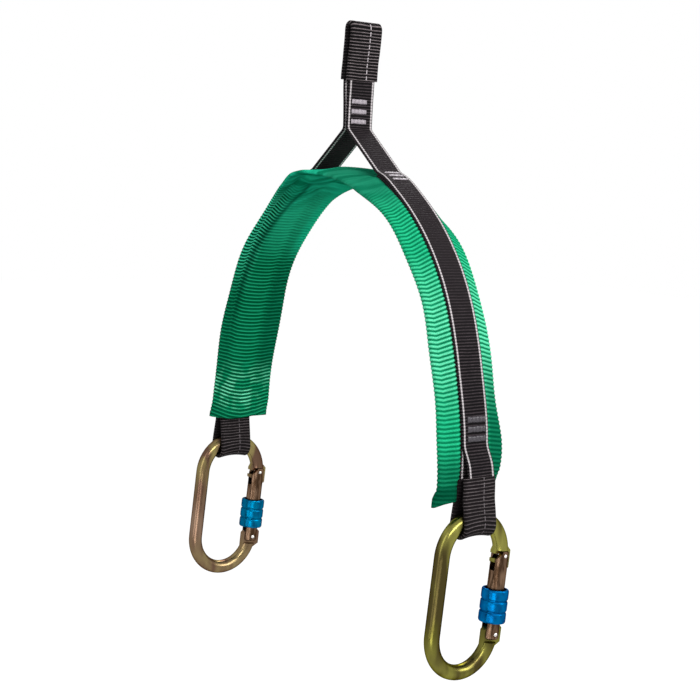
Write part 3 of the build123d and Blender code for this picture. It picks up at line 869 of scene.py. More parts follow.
@dataclass
class Webbing:
    """The black webbing: one length that runs round all three eyes.

    Attributes:
        arch: Line of the band that the legs follow.
        width, thick: The webbing's section.
        lay: Lift of the inner ply's middle from the band's middle line.
        step, soften: Distance between points of the middle line, and how far its corners are rounded.
        top_round, top_height, top_lean: Radius, height and lean of the top eye's bend.
        neck: Knots of the line in the top sleeve: how far beyond closed plies, and height.
        sleeve_end: Height at which the top sleeve ends.
        skew: How far the stem's back ply lies aside there.
        seam: Knots of the line in the stem: how far beyond stem_half, and height.
        stem_half: Half the distance between the stem's plies.
        split: Height at which they part.
        shoulder: Degrees round the arch at which they meet the band.
        rise: How far the right leg's plies stand off the band at the shoulder.
        left_share: Share of that on the left leg.
        drift, drift_in, drift_out: How far the right leg's plies lie off the band's middle, the x over
            which that starts and the heights over which it ends.
        slip, slip_in, slip_out: How far its outer ply has slipped the other way above the sleeve, and
            the heights over which that starts and ends.
        eye_split: Height at which the outer ply leaves the band's line.
        eye_x, eye_z, eye_round: Middle and radius of the lower eyes' bend, at the webbing's middle.
        knee: Height at which the inner ply comes off the eye.
        loop_start: Height below which the webbing bends with the carabiner.
        cup, cup_span: How far the webbing's edges droop round the carabiner, and over which heights
            that comes on.
        sleeve_width, sleeve_wall: A sleeve's width and how thick its cloth is.
        sleeve_share: How much of the webbing's way aside a lower sleeve follows.
        sleeve_outer_top, sleeve_inner_top: Heights at which a lower sleeve ends on each ply.
        stem_tacks, eye_tacks: Heights of the bar tacks on the stem and above the lower eyes.
        shoulder_tacks: Distances of the shoulders' bar tacks from the crown.
    """

    arch: Arch
    width: float = 0.022
    thick: float = 0.0018
    lay: float = 0.0022
    step: float = 0.0006
    soften: float = 0.0013
    top_round: float = 0.0030
    top_height: float = 0.0024
    top_lean: float = 0.0015
    neck: tuple[Pair, ...] = ((0.0006, -0.016), (0.0, -0.022))
    sleeve_end: float = -0.0355
    skew: float = 0.0015
    seam: tuple[Pair, ...] = ((0.0002, -0.044), (0.0, -0.048))
    stem_half: float = 0.0014
    split: float = -0.0680
    shoulder: float = 18.5
    rise: float = 0.0019
    left_share: float = 0.45
    drift: float = 0.0014
    drift_in: Pair = (0.030, 0.060)
    drift_out: Pair = (-0.215, -0.255)
    slip: float = 0.0034
    slip_in: Pair = (-0.260, -0.277)
    slip_out: Pair = (-0.298, -0.284)
    eye_split: float = -0.2640
    eye_x: float = 0.1383
    eye_z: float = -0.3112
    eye_round: float = 0.00675
    knee: float = -0.2900
    loop_start: float = -0.2700
    cup: float = 0.0016
    cup_span: Pair = (-0.300, -0.313)
    sleeve_width: float = 0.026
    sleeve_wall: float = 0.0009
    sleeve_share: float = 0.45
    sleeve_outer_top: float = -0.2822
    sleeve_inner_top: float = -0.2825
    stem_tacks: Triple = (-0.0495, -0.0562, -0.0629)
    shoulder_tacks: Triple = (0.0372, 0.0418, 0.0464)
    eye_tacks: Triple = (-0.2460, -0.2520, -0.2580)

    @staticmethod
    def _touch(point: Array, middle: Array, radius: float, side: float) -> float:
        """Angle on a circle at which the line from a point touches it: bearing less acos(r / d)."""
        gap = point - middle
        return float(np.arctan2(gap[1], gap[0]) - side * np.arccos(radius / np.hypot(*gap)))

    def swell(self, along: Array, side: Side) -> Array:
        """How far a leg's plies stand off the band: a bell curve down the leg from the shoulder."""
        return self.rise * (1.0 if side is Side.RIGHT else self.left_share) * hump(0.041, 0.012, along)

    def half_line(self, side: Side) -> Array:
        """One half of the webbing's middle line, from the crown of the top eye to its end.

        Args:
            side: The leg it runs down, for how far it stands off; it is drawn on the right.

        Returns:
            Rows of (x, z): a half round, straight runs down the stem and out to the shoulder, the
            outer ply of the leg, the lower eye as tangents and an arc, and the inner ply up the leg.
        """
        arch, outer_lay = self.arch, self.lay + self.thick
        bend = np.linspace(np.pi / 2, 0.0, 12)
        low = self.top_height - self.top_round
        top = np.stack([self.top_round * np.cos(bend), low + self.top_round * np.sin(bend)], axis=1)
        closed = self.thick / 2 + self.sleeve_wall
        stem = [(closed + more, z) for more, z in (*self.neck, (0.0, self.sleeve_end + 0.002))]
        stem += [(self.stem_half + more, z) for more, z in (*self.seam, (0.0, self.split))]
        start = arch.length_to(arch.at(np.array([0.0]), np.array([0.0]))[1][0], outer_lay)
        first = np.radians(self.shoulder) * arch.arcs[0][0]
        down = np.linspace(max(first, start), arch.length_to(self.eye_split, outer_lay), 400)
        leg = np.stack(arch.at(down, outer_lay + self.swell(down, side)), axis=1)
        middle = np.array([self.eye_x, self.eye_z])
        foot = np.array([arch.at(np.array([arch.half]), np.array([self.lay]))[0][0], self.knee])
        begin = self._touch(leg[-1], middle, self.eye_round, 1.0)
        finish = self._touch(foot, middle, self.eye_round, -1.0) - 2 * np.pi
        sweep = np.linspace(begin, finish, 60)
        eye = middle + self.eye_round * np.stack([np.cos(sweep), np.sin(sweep)], axis=1)
        up = np.linspace(arch.half, first + 0.002, 500)
        inner = np.stack(arch.at(up, self.lay + self.swell(up, side)), axis=1)
        return np.concatenate([top, stem, leg, eye, foot[None], inner])

    def line(self) -> Array:
        """Whole middle line, from the left leg's inner ply to the right's.

        Returns:
            Rows of (x, z), evenly spaced. Corners are rounded, and the top eye leans over, by an eased
            step from the sleeve's end up.
        """
        left, right = (self.half_line(side) for side in Side)
        whole = np.concatenate([left[::-1] * [-1, 1], right])
        even = relax(resample(whole, self.step), self.step, self.soften)
        lean = smooth(self.sleeve_end, 0.0, even[:, 1]) * self.top_lean
        even[:, 0] += lean * (np.abs(even[:, 0]) < STEM_REACH)
        return resample(even, self.step)

    def stem_spots(self) -> Spots:
        """The stem's tacks on both of its faces, each place with the face's outward direction."""
        face = self.stem_half + self.thick / 2
        return tuple(((side * face, z), (side, 0.0)) for side in (1, -1) for z in self.stem_tacks)

    def shoulder_spots(self, side: Side) -> Spots:
        """One shoulder's tacks, on the leg's outer face."""
        return self._leg_spots(np.array(self.shoulder_tacks), side)

    def eye_spots(self, side: Side) -> Spots:
        """One lower eye's tacks, on the leg's outer face."""
        lift = self.lay + 1.5 * self.thick
        return self._leg_spots(np.array([self.arch.length_to(z, lift) for z in self.eye_tacks]), side)

    def _leg_spots(self, along: Array, side: Side) -> Spots:
        """Finds points on a leg's outer face.

        Args:
            along: Distances from the crown.
            side: The leg.

        Returns:
            Each point with the face's outward direction.
        """
        lift = self.lay + 1.5 * self.thick + self.swell(along, side)
        foot = np.stack(self.arch.at(along, lift), axis=1)
        out = np.stack(self.arch.at(along, lift + 1.0), axis=1) - foot
        return side.mirror(tuple(zip(map(tuple, foot.tolist()), map(tuple, out.tolist()))))

    def sway(self, line: Array) -> Array:
        """How far the webbing lies off the middle at each point of its line.

        Both plies of the right leg drift between two eased steps, down to the lower tacks. Below them
        the outer ply slips back past the middle, between two more, over the sleeve's mouth.

        Args:
            line: Rows of (x, z) of the whole middle line.

        Returns:
            One offset across for each row.
        """
        x, z = line[:, 0], line[:, 1]
        leg = smooth(*self.drift_in, x) * (1.0 - smooth(*self.drift_out, z))
        lowest = np.argmin(np.where(x > 0, z, 0.0))
        outer = (np.arange(len(x)) < lowest) & (x > 0)
        mouth = smooth(*self.slip_in, z) * smooth(*self.slip_out, z)
        return self.slip * outer * mouth - self.drift * leg

    def carry(self, line: Array, section: Array, start: float, sway: Array) -> Surface:
        """Carries a section along a stretch of the middle line.

        Each point is the line's point, plus the lift square to the line, plus the place across and
        the sway. The stem's back ply lies aside by a bell curve round the top sleeve's end. Below the
        lower eyes' middle the cloth cups round the carabiner's bend: it drops with the square of the
        place across.

        Args:
            line: Rows of (x, z).
            section: Rows of (across, lift), once round.
            start: Distance along the webbing at which the stretch begins.
            sway: Offset across for each row of the line.

        Returns:
            The carried surface.
        """
        slope = np.gradient(line, axis=0)
        slope /= np.linalg.norm(slope, axis=1, keepdims=True)
        square = np.stack([-slope[:, 1], slope[:, 0]], axis=1)
        lift = section[None, :, 1:]
        flat = line[:, None, :] + square[:, None, :] * lift
        across = np.broadcast_to(section[None, :, 0], flat.shape[:2])
        points = np.stack([flat[..., 0], across + sway[:, None], flat[..., 1]], axis=2)
        back = hump(self.sleeve_end, 0.016, points[..., 2]) * smooth(0.0008, -0.0008, points[..., 0])
        points[..., 1] -= self.skew * back * (np.abs(points[..., 0]) < 1.2 * STEM_REACH)
        edge = (across / (self.sleeve_width / 2)) ** 2
        points[..., 2] -= self.cup * edge * smooth(*self.cup_span, points[..., 2])
        run = start + run_length(line)
        ring = np.append(section[:, 0], section[0, 0])
        cloth = np.stack(np.broadcast_arrays(run[:, None], ring[None, :]), axis=2)
        return Surface(points, cloth)

    def tube(self, line: Array, sway: Array) -> Surface:
        """A sleeve round a stretch of the webbing: its outer skin, turned in at both ends.

        The face towards the inside of the eye has its own strip of the cloth map, where the finish paints
        shade.

        Args:
            line: Rows of (x, z).
            sway: Offset across for each row of the line.

        Returns:
            The closed skin, whose rows run out along the outside and back along the inside.
        """
        wall = self.sleeve_wall
        outer = flat_section(self.sleeve_width, self.thick + 2 * wall, edge=0.0014, count=22)
        inner = flat_section(self.sleeve_width - 2 * wall, self.thick + 0.0001, edge=0.0010, count=22)
        out, back = self.carry(line, outer, 0.0, sway), self.carry(line[::-1], inner, 0.0, sway[::-1])
        facing_in = np.append(outer[:, 1], outer[0, 1]) < 0
        skin = out.cloth + LINING * np.stack([0 * facing_in, facing_in], axis=1)
        lining = back.cloth * [-1, 1] + [np.ptp(out.cloth[..., 0]), 0]
        return Surface(np.concatenate([out.points, back.points]), np.concatenate([skin, lining]), True)

    def build(self, strap: Material, sleeve: Material, low: Material) -> None:
        """Makes the webbing in five pieces and the three sleeves, and ties those that stay with the sling
        to its body.

        Args:
            strap: The webbing's finish.
            sleeve: The top sleeve's finish.
            low: The lower sleeves' finish.
        """
        line = self.line()
        run = run_length(line)
        sway = self.sway(line)
        section = flat_section(self.width, self.thick, edge=0.0008, count=20)
        down = np.flatnonzero(line[:, 1] < self.loop_start)
        left, right = down[line[down, 0] < 0], down[line[down, 0] > 0]
        stretches = (
            ("webbing_left_tail", slice(0, left[0] + 1), None),
            ("webbing_left_eye", slice(left[0], left[-1] + 1), Side.LEFT),
            ("webbing_stem_and_legs", slice(left[-1], right[0] + 1), None),
            ("webbing_right_eye", slice(right[0], right[-1] + 1), Side.RIGHT),
            ("webbing_right_tail", slice(right[-1], None), None),
        )
        for name, part, side in stretches:
            piece = self.carry(line[part], section, run[part][0], sway[part]).build(name)
            self.dress(piece, strap, side, "main_webbing")
        top = np.flatnonzero((np.abs(line[:, 0]) < STEM_REACH) & (line[:, 1] > self.sleeve_end))
        crown = slice(top[0], top[-1] + 1)
        piece = self.tube(line[crown], sway[crown]).build("sleeve_top_eye")
        self.dress(piece, sleeve, None, "top_eye_sleeve")
        for side, loop in ((Side.LEFT, left), (Side.RIGHT, right)):
            lowest = loop[np.argmin(line[loop, 1])]
            outer = side.value * (lowest - loop) >= 0
            kept = loop[line[loop, 1] < np.where(outer, self.sleeve_outer_top, self.sleeve_inner_top)]
            part = slice(kept[0], kept[-1] + 1)
            aside = self.sleeve_share * sway[part]
            piece = self.tube(line[part], aside).build(f"sleeve_{side.word}_eye")
            self.dress(piece, low, side, f"{side.word}_eye_sleeve")

    def dress(
        self, piece: bpy.types.Object, finish: Material, side: Side | None, node: str
    ) -> None:
        """Gives a piece its finish, hides the CAD node it stands for, and ties it to the sling's body, or
        only bakes its place if it lies at a carabiner.

        Args:
            piece: The new piece.
            finish: Its material.
            side: The carabiner that it lies at, or None if it stays with the sling.
            node: The CAD node it stands for.
        """
        piece.data.materials.append(finish)
        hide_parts(node)
        if side is None:
            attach(piece, "root")
        else:
            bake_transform(piece)
        LOG.info("%s: %d faces", piece.name, len(piece.data.polygons))


@dataclass
class Band:
    """The green tubular band, arched between the legs, with ribs across it.

    Attributes:
        arch: Its middle line.
        width, thick: The tube laid flat.
        flat: Half width of the strip that the webbing holds flat.
        droop: How far both edges turn in.
        rib: Distance from rib to rib.
        relief: Half height of a rib.
        hem: Length of the sewn hem at each end.
        hem_slant, hem_puff: How much longer the right hem is at its near edge, and how much thicker
            the hems are.
        puff, puff_at, puff_reach: How far the near wing stands up beside the webbing, how far beyond
            the flat strip its peak is, and how wide it is to each side.
        ripple: How far the edges rise and fall along the band.
        smooth_crown: Distances from the crown over which the creases end and the ribs begin.
        per_rib: Rows of points to a rib.
        cuts: For the left and the right end, how far past the arch's end the cloth reaches at its
            middle, and how much further at its near and far edges.
        folds: Slanting ridges and dips over the crown: start, slant, spread and height.
    """

    arch: Arch
    width: float = 0.050
    thick: float = 0.0026
    flat: float = 0.0115
    droop: float = 0.0045
    rib: float = 0.0028
    relief: float = 0.00034
    hem: float = 0.004
    hem_slant: float = 0.0070
    hem_puff: float = 0.25
    puff: float = 0.0026
    puff_at: float = 0.0022
    puff_reach: float = 0.0060
    ripple: float = 0.0007
    smooth_crown: Pair = (0.045, 0.085)
    per_rib: int = 7
    cuts: tuple[Triple, Triple] = ((0.0012, -0.0030, -0.0015), (0.0035, 0.0100, -0.0040))
    folds: tuple[tuple[float, float, float, float], ...] = (
        (-0.052, -0.5, 0.0030, 0.0016),
        (-0.038, 0.5, 0.0032, -0.0017),
        (-0.022, 1.0, 0.0024, 0.0018),
        (-0.006, 1.2, 0.0032, -0.0016),
        (0.012, 0.9, 0.0022, 0.0014),
        (0.030, 0.7, 0.0030, -0.0014),
        (0.046, 0.6, 0.0026, 0.0012),
    )

    def ends(self, across: Array) -> tuple[Array, Array]:
        """Finds the left and right ends.

        Args:
            across: Place across the band.

        Returns:
            Their distances from the crown there.
        """
        near, far = (np.clip(side * across / (self.width / 2), 0, 1) for side in (-1, 1))
        (left, left_near, left_far), (right, right_near, right_far) = self.cuts
        left_end = self.arch.half + left + left_near * near**2 + left_far * far
        return left_end, self.arch.half + right + right_near * near + right_far * far

    def shape(self, along: Array, across: Array) -> Array:
        """Lift of the band's middle surface, from how the webbing presses on the soft tube.

        Args:
            along: Distance from the crown, negative on the left leg.
            across: Place across the band.

        Returns:
            The lift. A wing falls with the 1.35th power of its distance from the flat strip. It puffs
            up beside the webbing, by a sharp peak. A bell curve raises or lowers an edge where the
            cloth has kinked, an eased step curls it at its ends, and a slow sine waves it.
        """
        wing = np.clip(np.abs(across) - self.flat, 0, None) / (self.width / 2 - self.flat)
        near, far = (across < 0) * wing, (across > 0) * wing
        lift = np.zeros_like(along) - self.droop * wing**1.35
        leg = smooth(0.022, 0.048, np.abs(along))
        off_peak = np.abs(np.abs(across) - self.flat - self.puff_at)
        beside = np.clip(1 - off_peak / self.puff_reach, 0, 1) ** 1.3
        near_puff = np.where(along < 0, 1.25 * self.puff * (1.0 - smooth(0.180, 0.230, -along)), self.puff)
        lift += leg * beside * np.where(across < 0, near_puff, 0.4 * self.puff)
        lift += self.ripple * (near * np.sin(along * 95.0 + 0.6) + far * np.sin(along * 80.0))
        end = self.arch.half
        # Bell-shaped kinks of the edges: wing, place along the band, spread and rise.
        for share, place, spread, rise in (
            (near, -0.036, 0.017, 0.0075),
            (near, 0.035, 0.030, -0.0020),
            (far, -0.034, 0.030, -0.0022),
            (far, 0.036, 0.026, -0.0022),
            (far, 0.066, 0.018, -0.0032),
            (far, 0.062 - end, 0.026, -0.0024),
            (near, end - 0.010, 0.016, 0.0026),
            (far, end - 0.024, 0.017, 0.0062),
        ):
            lift += rise * share * hump(place, spread, along)
        # Ends that curl: wing, distance down the leg, where the curl starts and is full, and rise.
        for share, down, start, full, rise in (
            (near, along, 0.0, 0.009, -0.0034),
            (far, along, -0.010, 0.0, -0.0020),
            (near, -along, -0.016, 0.0, 0.0030),
            (far, -along, -0.016, 0.0, 0.0022),
            (1 - wing, np.abs(along), -0.012, 0.0, -0.0008),
        ):
            lift += rise * share * smooth(end + start, end + full, down)
        return lift + self.creases(along, across)

    def creases(self, along: Array, across: Array) -> Array:
        """Soft creases over the crown.

        Args:
            along: Distance from the crown, negative on the left leg.
            across: Place across the band.

        Returns:
            The lift: a sum of bell-shaped ridges and dips, each along a slanted line, which fades
            down the legs and towards the edges.
        """
        lift = np.zeros_like(along)
        for start, slant, spread, height in self.folds:
            lift = lift + height * hump(0.0, spread, (along - start - slant * across) / np.hypot(1, slant))
        near_crown = 1.0 - smooth(*self.smooth_crown, np.abs(along))
        return lift * near_crown * (1.0 - 0.8 * (across / (self.width / 2)) ** 2)

    def bow(self, along: Array, across: Array) -> Array:
        """How much lower down its leg a rib runs at each place across the band.

        The left leg's ribs drop towards the webbing over the near wing, sag in the middle and rise at
        the far edge. The right leg's make a shallow V over the near wing and drop over the far one.

        Args:
            along: Distance from the crown, negative on the left leg.
            across: Place across the band.

        Returns:
            The drop, which fades out at the crown.
        """
        far = np.abs(along)
        upper, lower = 1.0 - smooth(0.080, 0.130, far), smooth(0.190, 0.235, far)
        wing = np.clip((-0.009 - across) / 0.016, 0, 1)
        middle = 0.0014 * np.clip((across - 0.006) / 0.015, -1, 1) ** 2
        edge = np.clip((across - 0.016) / 0.009, 0, 1)
        left = -(0.0050 + 0.0035 * upper) * wing - middle - 0.0020 * edge
        left = left - lower * 0.07 * np.abs(across - 0.002)
        rise = 0.24 * (1.0 - 0.6 * lower)
        right = np.where(across > 0.0, -0.0040 + 0.14 * across, -rise * np.abs(across + 0.0205))
        return np.where(along < 0, left, right) * smooth(0.040, 0.080, far)

    def surface(self) -> Surface:
        """Carries the tube's section along the arch.

        Returns:
            Its skin, with the ribs as a sine in its thickness, which fades out in the hems and at the
            crown. The cloth map runs with the ribs, so that the finish follows them.
        """
        section = flat_section(self.width, self.thick, edge=0.0012, count=30)
        ribs = int(round(2 * self.arch.half / self.rib))
        share = np.linspace(-1.0, 1.0, ribs * self.per_rib + 1)[:, None]
        across, skin = section[None, :, 0], section[None, :, 1]
        left, right = self.ends(across)
        along = np.where(share < 0, share * left, share * right)
        past = np.minimum(along + left, right - along)
        edge = self.hem + self.hem_slant * np.clip(-across / self.width * 2, 0, 1) * (share > 0)
        hem = 1.0 - smooth(edge - 0.0012, edge, past)
        woven = along - np.sign(along) * self.bow(along, np.broadcast_to(across, along.shape))
        wave = np.sin(2 * np.pi * woven / self.rib) * (1.0 - hem)
        tight = smooth(*self.smooth_crown, np.abs(along))
        rib = np.sign(skin) * self.relief * wave * tight * (np.abs(skin) > 1e-4)
        swell = skin * (1.0 + self.hem_puff * hem) + rib
        x, z = self.arch.at(along, self.shape(along, across) + swell)
        points = np.stack([x, np.broadcast_to(across, x.shape), z], axis=2)
        ring = np.concatenate([woven, woven[:, :1]], axis=1)
        wide = np.broadcast_to(np.append(section[:, 0], section[0, 0])[None, :], ring.shape)
        return Surface(points, np.stack([ring, wide], axis=2))

    def build(self, finish: Material) -> None:
        """Makes the band and ties it to the sling.

        Args:
            finish: Its material.
        """
        piece = self.surface().build("protector_band_cloth")
        piece.data.materials.append(finish)
        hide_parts("protector_band")
        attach(piece, "root")
        LOG.info("%s: %d faces", piece.name, len(piece.data.polygons))


@dataclass(frozen=True)
class Tacks:
    """One group of bar tacks, sewn on at stated places.

    Attributes:
        node: The CAD node they stand for.
        finish: The thread's material.
        slot: Name of a slot for that material; not used.
        spots: Middle of each bar's foot and the strap's outward direction there, as (x, z) pairs.
        length, width, height: One bar.
        off: How far the bars sit off the webbing's middle.
        sink: How far a bar's foot is pulled into the strap.
        pitch: Distance between stitches.
        ripple, fray: How far a stitch raises the mound and widens it, as shares of the two.
        grid: Rows and columns of points to a bar.
    """

    node: str
    finish: Material
    slot: str
    spots: Spots
    length: float = 0.0130
    width: float = 0.0028
    height: float = 0.0009
    off: float = -0.0010
    sink: float = 0.00035
    pitch: float = 0.0009
    ripple: float = 0.05
    fray: float = 0.07
    grid: tuple[int, int] = (131, 13)

    def bar(self, spot: Pair, out: Pair) -> tuple[Array, Array]:
        """One bar: an oval mound whose height falls off steeply towards its rim.

        Args:
            spot: Middle of its foot, as (x, z).
            out: Unit vector out of the strap's face, as (x, z).

        Returns:
            Its points (rows, columns, 3) and cloth coordinates. The rows follow satin stitches, whose
            wave ripples the mound and frays its two long sides.
        """
        rows, columns = self.grid
        long = np.linspace(-1, 1, rows)[:, None]
        wide = np.linspace(-1, 1, columns)[None, :]
        mound = np.sqrt(np.clip(1 - long**8, 0, 1) * np.clip(1 - wide**4, 0, 1))
        stitch = np.sin(long * self.length * np.pi / self.pitch)
        height = self.height * mound * (1.0 + self.ripple * stitch) - self.sink
        reach = self.width / 2 * (1 + self.fray * stitch + 0.05 * np.sin(long * 5.0 + 1.0))
        across = np.array([-out[1], out[0]])
        shift = wide * reach
        x, z = (spot[k] + shift * across[k] + height * out[k] for k in (0, 1))
        points = np.stack(np.broadcast_arrays(x, self.off + long * self.length / 2, z), axis=2)
        cloth = np.stack(np.broadcast_arrays(long * self.length / 2, wide * self.width / 2), axis=2)
        return points, cloth

    def build(self) -> None:
        """Makes every bar of the group as one piece and ties it to the sling."""
        bars = [self.bar(spot, out) for spot, out in self.spots]
        count = np.prod(self.grid)
        corner = np.arange(count).reshape(self.grid)
        quads = np.stack([corner[:-1, :-1], corner[:-1, 1:], corner[1:, 1:], corner[1:, :-1]], axis=2)
        quads = quads.reshape(-1, 4)
        faces = np.concatenate([quads + k * count for k in range(len(bars))]).tolist()
        mounds = np.stack([mound for mound, _ in bars])
        cloth = np.concatenate([maps.reshape(-1, 2)[quads.ravel()] for _, maps in bars])
        piece = add_cloth(self.node + "_thread", mounds, faces, cloth)
        piece.data.materials.append(self.finish)
        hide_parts(self.node)
        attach(piece, "root")
        LOG.info("%s: %d bars", piece.name, len(bars))


# ---- Hardware ---------------------------------------------------------------------------------------


@dataclass
class Carabiner:
    """One screw-gate carabiner: its solids stay and get their finishes.

    Attributes:
        side: The end of the span it hangs from.
        finishes: Material by the last part of a node's name.
    """

    side: Side
    finishes: dict[str, Material]

    def build(self) -> None:
        """Dresses every node of the carabiner."""
        for ending, finish in self.finishes.items():
            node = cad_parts[f"{self.side.word}_{ending}"]
            node.material_slots[0].material = finish
            LOG.info("%s: %s", node.name, finish.name)


# ---- Studio -----------------------------------------------------------------------------------------


@dataclass(frozen=True)
class Studio:
    """Camera, lamps, world and floor.

    Attributes:
        eye: The camera's place.
        turn, dip, roll: The camera's bearing, its angle below level and its roll, in degrees.
        lens: Focal length in millimetres.
        floor, floor_half: Height and half width of the floor.
        grey, glow: How pale the floor is, and how bright where it is seen directly.
        ambient: Strength of the world's soft light.
        lamps: Name, place, aim, size and watts of each lamp.
    """

    eye: Triple = (0.8057, -0.6307, -0.0913)
    turn: float = 51.802
    dip: float = 7.145
    roll: float = 2.916
    lens: float = 76.39
    floor: float = -0.75
    floor_half: float = 6.0
    grey: float = 0.20
    glow: float = 0.93
    ambient: float = 0.38
    lamps: tuple[tuple[str, Triple, Triple, Pair, float], ...] = (
        ("key", (0.95, -0.05, 0.48), (0.08, 0.0, -0.25), (1.20, 0.20), 10.0),
        ("side", (0.86, 0.66, 0.16), (0.08, 0.0, -0.32), (0.50, 0.40), 6.0),
        ("fill", (0.25, -1.25, 0.10), (0.0, 0.0, -0.20), (0.40, 1.50), 5.0),
        ("low", (0.75, -0.75, -0.62), (-0.08, 0.0, -0.18), (0.50, 0.25), 2.0),
        ("back", (-0.80, 0.90, 0.60), (0.0, 0.0, -0.20), (0.60, 0.60), 9.0),
    )

    def camera(self) -> None:
        """Makes the camera. It looks along its bearing, dips, then rolls about its own line."""
        turn, dip, roll = np.radians([self.turn, self.dip, self.roll])
        right = np.array([np.cos(turn), np.sin(turn), 0.0])
        ahead = np.array([-np.sin(turn) * np.cos(dip), np.cos(turn) * np.cos(dip), -np.sin(dip)])
        up = np.cross(right, ahead)
        level = right * np.cos(roll) + up * np.sin(roll)
        upright = up * np.cos(roll) - right * np.sin(roll)
        data = bpy.data.cameras.new("camera")
        data.lens = self.lens
        data.clip_start, data.clip_end = 0.05, 50.0
        camera = add_object("camera", data)
        axes = np.stack([level, upright, -ahead, np.array(self.eye)], axis=1)
        camera.matrix_world = Matrix([*axes.tolist(), [0.0, 0.0, 0.0, 1.0]])
        bpy.context.scene.camera = camera

    @staticmethod
    def lamp(name: str, place: Triple, aim: Triple, size: Pair, power: float) -> None:
        """Makes an oblong lamp that faces a point.

        Args:
            name: Its name.
            place: Where it stands.
            aim: Where it points.
            size: Its width and height.
            power: Watts.
        """
        data = bpy.data.lights.new(name, "AREA")
        data.shape, data.energy = "RECTANGLE", power
        data.size, data.size_y = size
        lamp = add_object(name, data)
        lamp.location = place
        lamp.rotation_mode = "QUATERNION"
        lamp.rotation_quaternion = (Vector(aim) - Vector(place)).to_track_quat("-Z", "Y")

    @staticmethod
    def seen_directly(tree: bpy.types.NodeTree) -> Socket:
        """Tells rays that show a surface from rays that only light it.

        Args:
            tree: The nodes of a material or of the world.

        Returns:
            1 for rays from the camera, a mirror or glass, and 0 for the others.
        """
        path = tree.nodes.new("ShaderNodeLightPath")
        total: Socket = path.outputs["Is Camera Ray"]
        for other in ("Is Glossy Ray", "Is Transmission Ray"):
            made = tree.nodes.new("ShaderNodeMath")
            made.operation = "MAXIMUM"
            tree.links.new(total, made.inputs[0])
            tree.links.new(path.outputs[other], made.inputs[1])
            total = made.outputs[0]
        return total

    def world(self) -> None:
        """White where it is seen, and plain soft light everywhere else."""
        world = bpy.data.worlds.new("studio")
        world.use_nodes = True
        bpy.context.scene.world = world
        tree = world.node_tree
        background = tree.nodes["Background"]
        background.inputs["Color"].default_value = (1.0, 1.0, 1.0, 1.0)
        reach = tree.nodes.new("ShaderNodeMapRange")
        reach.inputs["To Min"].default_value = self.ambient
        reach.inputs["To Max"].default_value = 1.0
        tree.links.new(self.seen_directly(tree), reach.inputs["Value"])
        tree.links.new(reach.outputs[0], background.inputs["Strength"])

    def ground(self) -> None:
        """A pale floor that keeps the object's shadow and runs out into the white around it."""
        half = self.floor_half
        mesh = bpy.data.meshes.new("floor")
        corners = [(-half, -half), (half, -half), (half, half), (-half, half)]
        mesh.from_pydata([(x, y, self.floor) for x, y in corners], [], [(0, 1, 2, 3)])
        floor = add_object("floor", mesh)
        g = Graph("white floor")
        finish = {
            "Base Color": (self.grey, self.grey, self.grey, 1.0),
            "Roughness": 1.0,
            "Specular IOR Level": 0.0,
            "Emission Color": (1.0, 1.0, 1.0, 1.0),
            "Emission Strength": g.product(self.seen_directly(g.tree), self.glow),
        }
        mesh.materials.append(g.finish(finish))

    def build(self) -> None:
        """Sets up the whole studio."""
        self.camera()
        self.world()
        self.ground()
        for lamp in self.lamps:
            self.lamp(*lamp)
        bpy.context.scene.view_settings.view_transform = "Standard"


def webbing_and_sleeves(arch: Arch) -> Webbing:
    """Builds the webbing and its sleeves.

    Args:
        arch: Line of the band that the legs follow.

    Returns:
        The webbing, which says where its tacks go.
    """
    strap = Weave(
        "black webbing",
        (0.060, 0.048, 0.053),
        (0.003, 0.0025, 0.003),
        rib=0.0020,
        relief=0.00022,
        crisp=2.6,
        tracers=(-0.0094, 0.0094),
        tracer_width=0.0013,
        tracer_colour=(0.55, 0.51, 0.52),
        tracer_gap=0.50,
        gloss=0.04,
        pulled=(-0.066, -0.205),
    )
    sleeve = Weave(
        "black sleeve",
        (0.260, 0.220, 0.228),
        (0.003, 0.0026, 0.003),
        rib=0.0021,
        relief=0.00040,
        crisp=6.0,
        gloss=0.04,
        tracers=(0.0026,),
        tracer_width=0.0008,
        tracer_pitch=0.0042,
        tracer_colour=(0.48, 0.44, 0.46),
        tracer_gap=0.0,
        # The face inside each eye gets painted shade.
        lining=0.12,
    )
    low_sleeve = replace(
        sleeve,
        name="black sleeve, low",
        ridge=(0.142, 0.120, 0.125),
        groove=(0.007, 0.0055, 0.006),
        tracer_width=0.0006,
        tracer_colour=(0.17, 0.15, 0.16),
    )
    webbing = Webbing(arch)
    webbing.build(strap.material(), sleeve.material(), low_sleeve.material())
    return webbing


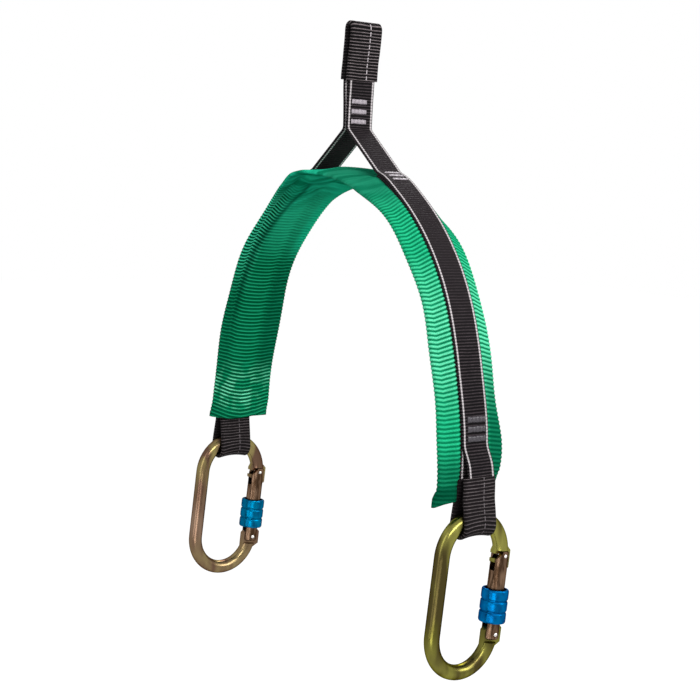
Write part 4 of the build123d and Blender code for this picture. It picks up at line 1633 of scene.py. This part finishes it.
def stitching(webbing: Webbing) -> None:
    """Builds the bar tacks: grey thread on the stem and the shoulders, dark thread above the lower eyes.

    Args:
        webbing: The webbing they are sewn on.
    """
    grey = Thread("grey thread", (0.44, 0.39, 0.43)).material()
    dark = Thread("dark thread", (0.056, 0.049, 0.060)).material()
    wide = {"width": 0.0034, "height": 0.0011, "off": -0.0012}
    Tacks("stem_bar_tacks", grey, "thread_grey", webbing.stem_spots(), **wide).build()
    slim = {"width": 0.0019, "off": 0.0008}
    long = {"length": 0.0150, "width": 0.0042, "height": 0.0015, "off": 0.0006}
    for side in Side:
        spots = webbing.shoulder_spots(side)
        Tacks(f"{side.word}_shoulder_tacks", grey, "thread_grey", spots, **slim).build()
        spots = webbing.eye_spots(side)
        Tacks(f"{side.word}_eye_tacks", dark, "thread_dark", spots, **long).build()


def carabiners() -> None:
    """Dresses both carabiners: copper rod and teal nut on the left, yellow and blue on the right."""
    satin = (0.20, 0.28)
    # The bend tints are painted highlights on the rods' bends.
    copper = Metal(
        "copper zinc", (0.235, 0.155, 0.105), (0.120, 0.068, 0.044), satin, bend=(0.280, 0.235, 0.085)
    )
    yellow = Metal(
        "yellow zinc", (0.118, 0.112, 0.018), (0.066, 0.052, 0.017), satin, bend=(0.250, 0.238, 0.055)
    )
    bronze = Metal("bronze zinc", (0.185, 0.114, 0.072), (0.052, 0.028, 0.015), (0.26, 0.34), drift=420.0)
    bright = Metal("bright steel", (0.72, 0.70, 0.68), (0.60, 0.58, 0.56)).material()
    blue = Metal(
        "blue anodising", (0.0, 0.122, 0.320), (0.001, 0.072, 0.210), (0.26, 0.36), drift=240.0, stretch=0.6
    )
    teal = replace(blue, name="teal anodising", first=(0.0, 0.135, 0.265), second=(0.001, 0.075, 0.165))
    shared = dict.fromkeys(("hinge_rivet", "latch_pin", "plunger", "gate_spring"), bright)
    shared["gate"] = bronze.material()
    for side, rod, nut in ((Side.LEFT, copper, teal), (Side.RIGHT, yellow, blue)):
        Carabiner(side, {"carabiner_body": rod.material(), "lock_nut": nut.material(), **shared}).build()


def main() -> None:
    """Builds the studio, the soft goods and the hardware in order."""
    logging.basicConfig(level=logging.INFO, format="%(message)s")
    Studio().build()
    top_of_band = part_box("protector_band")[1].z
    arch = Arch(crown=top_of_band - BAND_SOLID / 2)
    webbing = webbing_and_sleeves(arch)
    Band(arch).build(BandWeave("green band", Band.rib).material())
    stitching(webbing)
    carabiners()


if __name__ == "__main__":
    main()
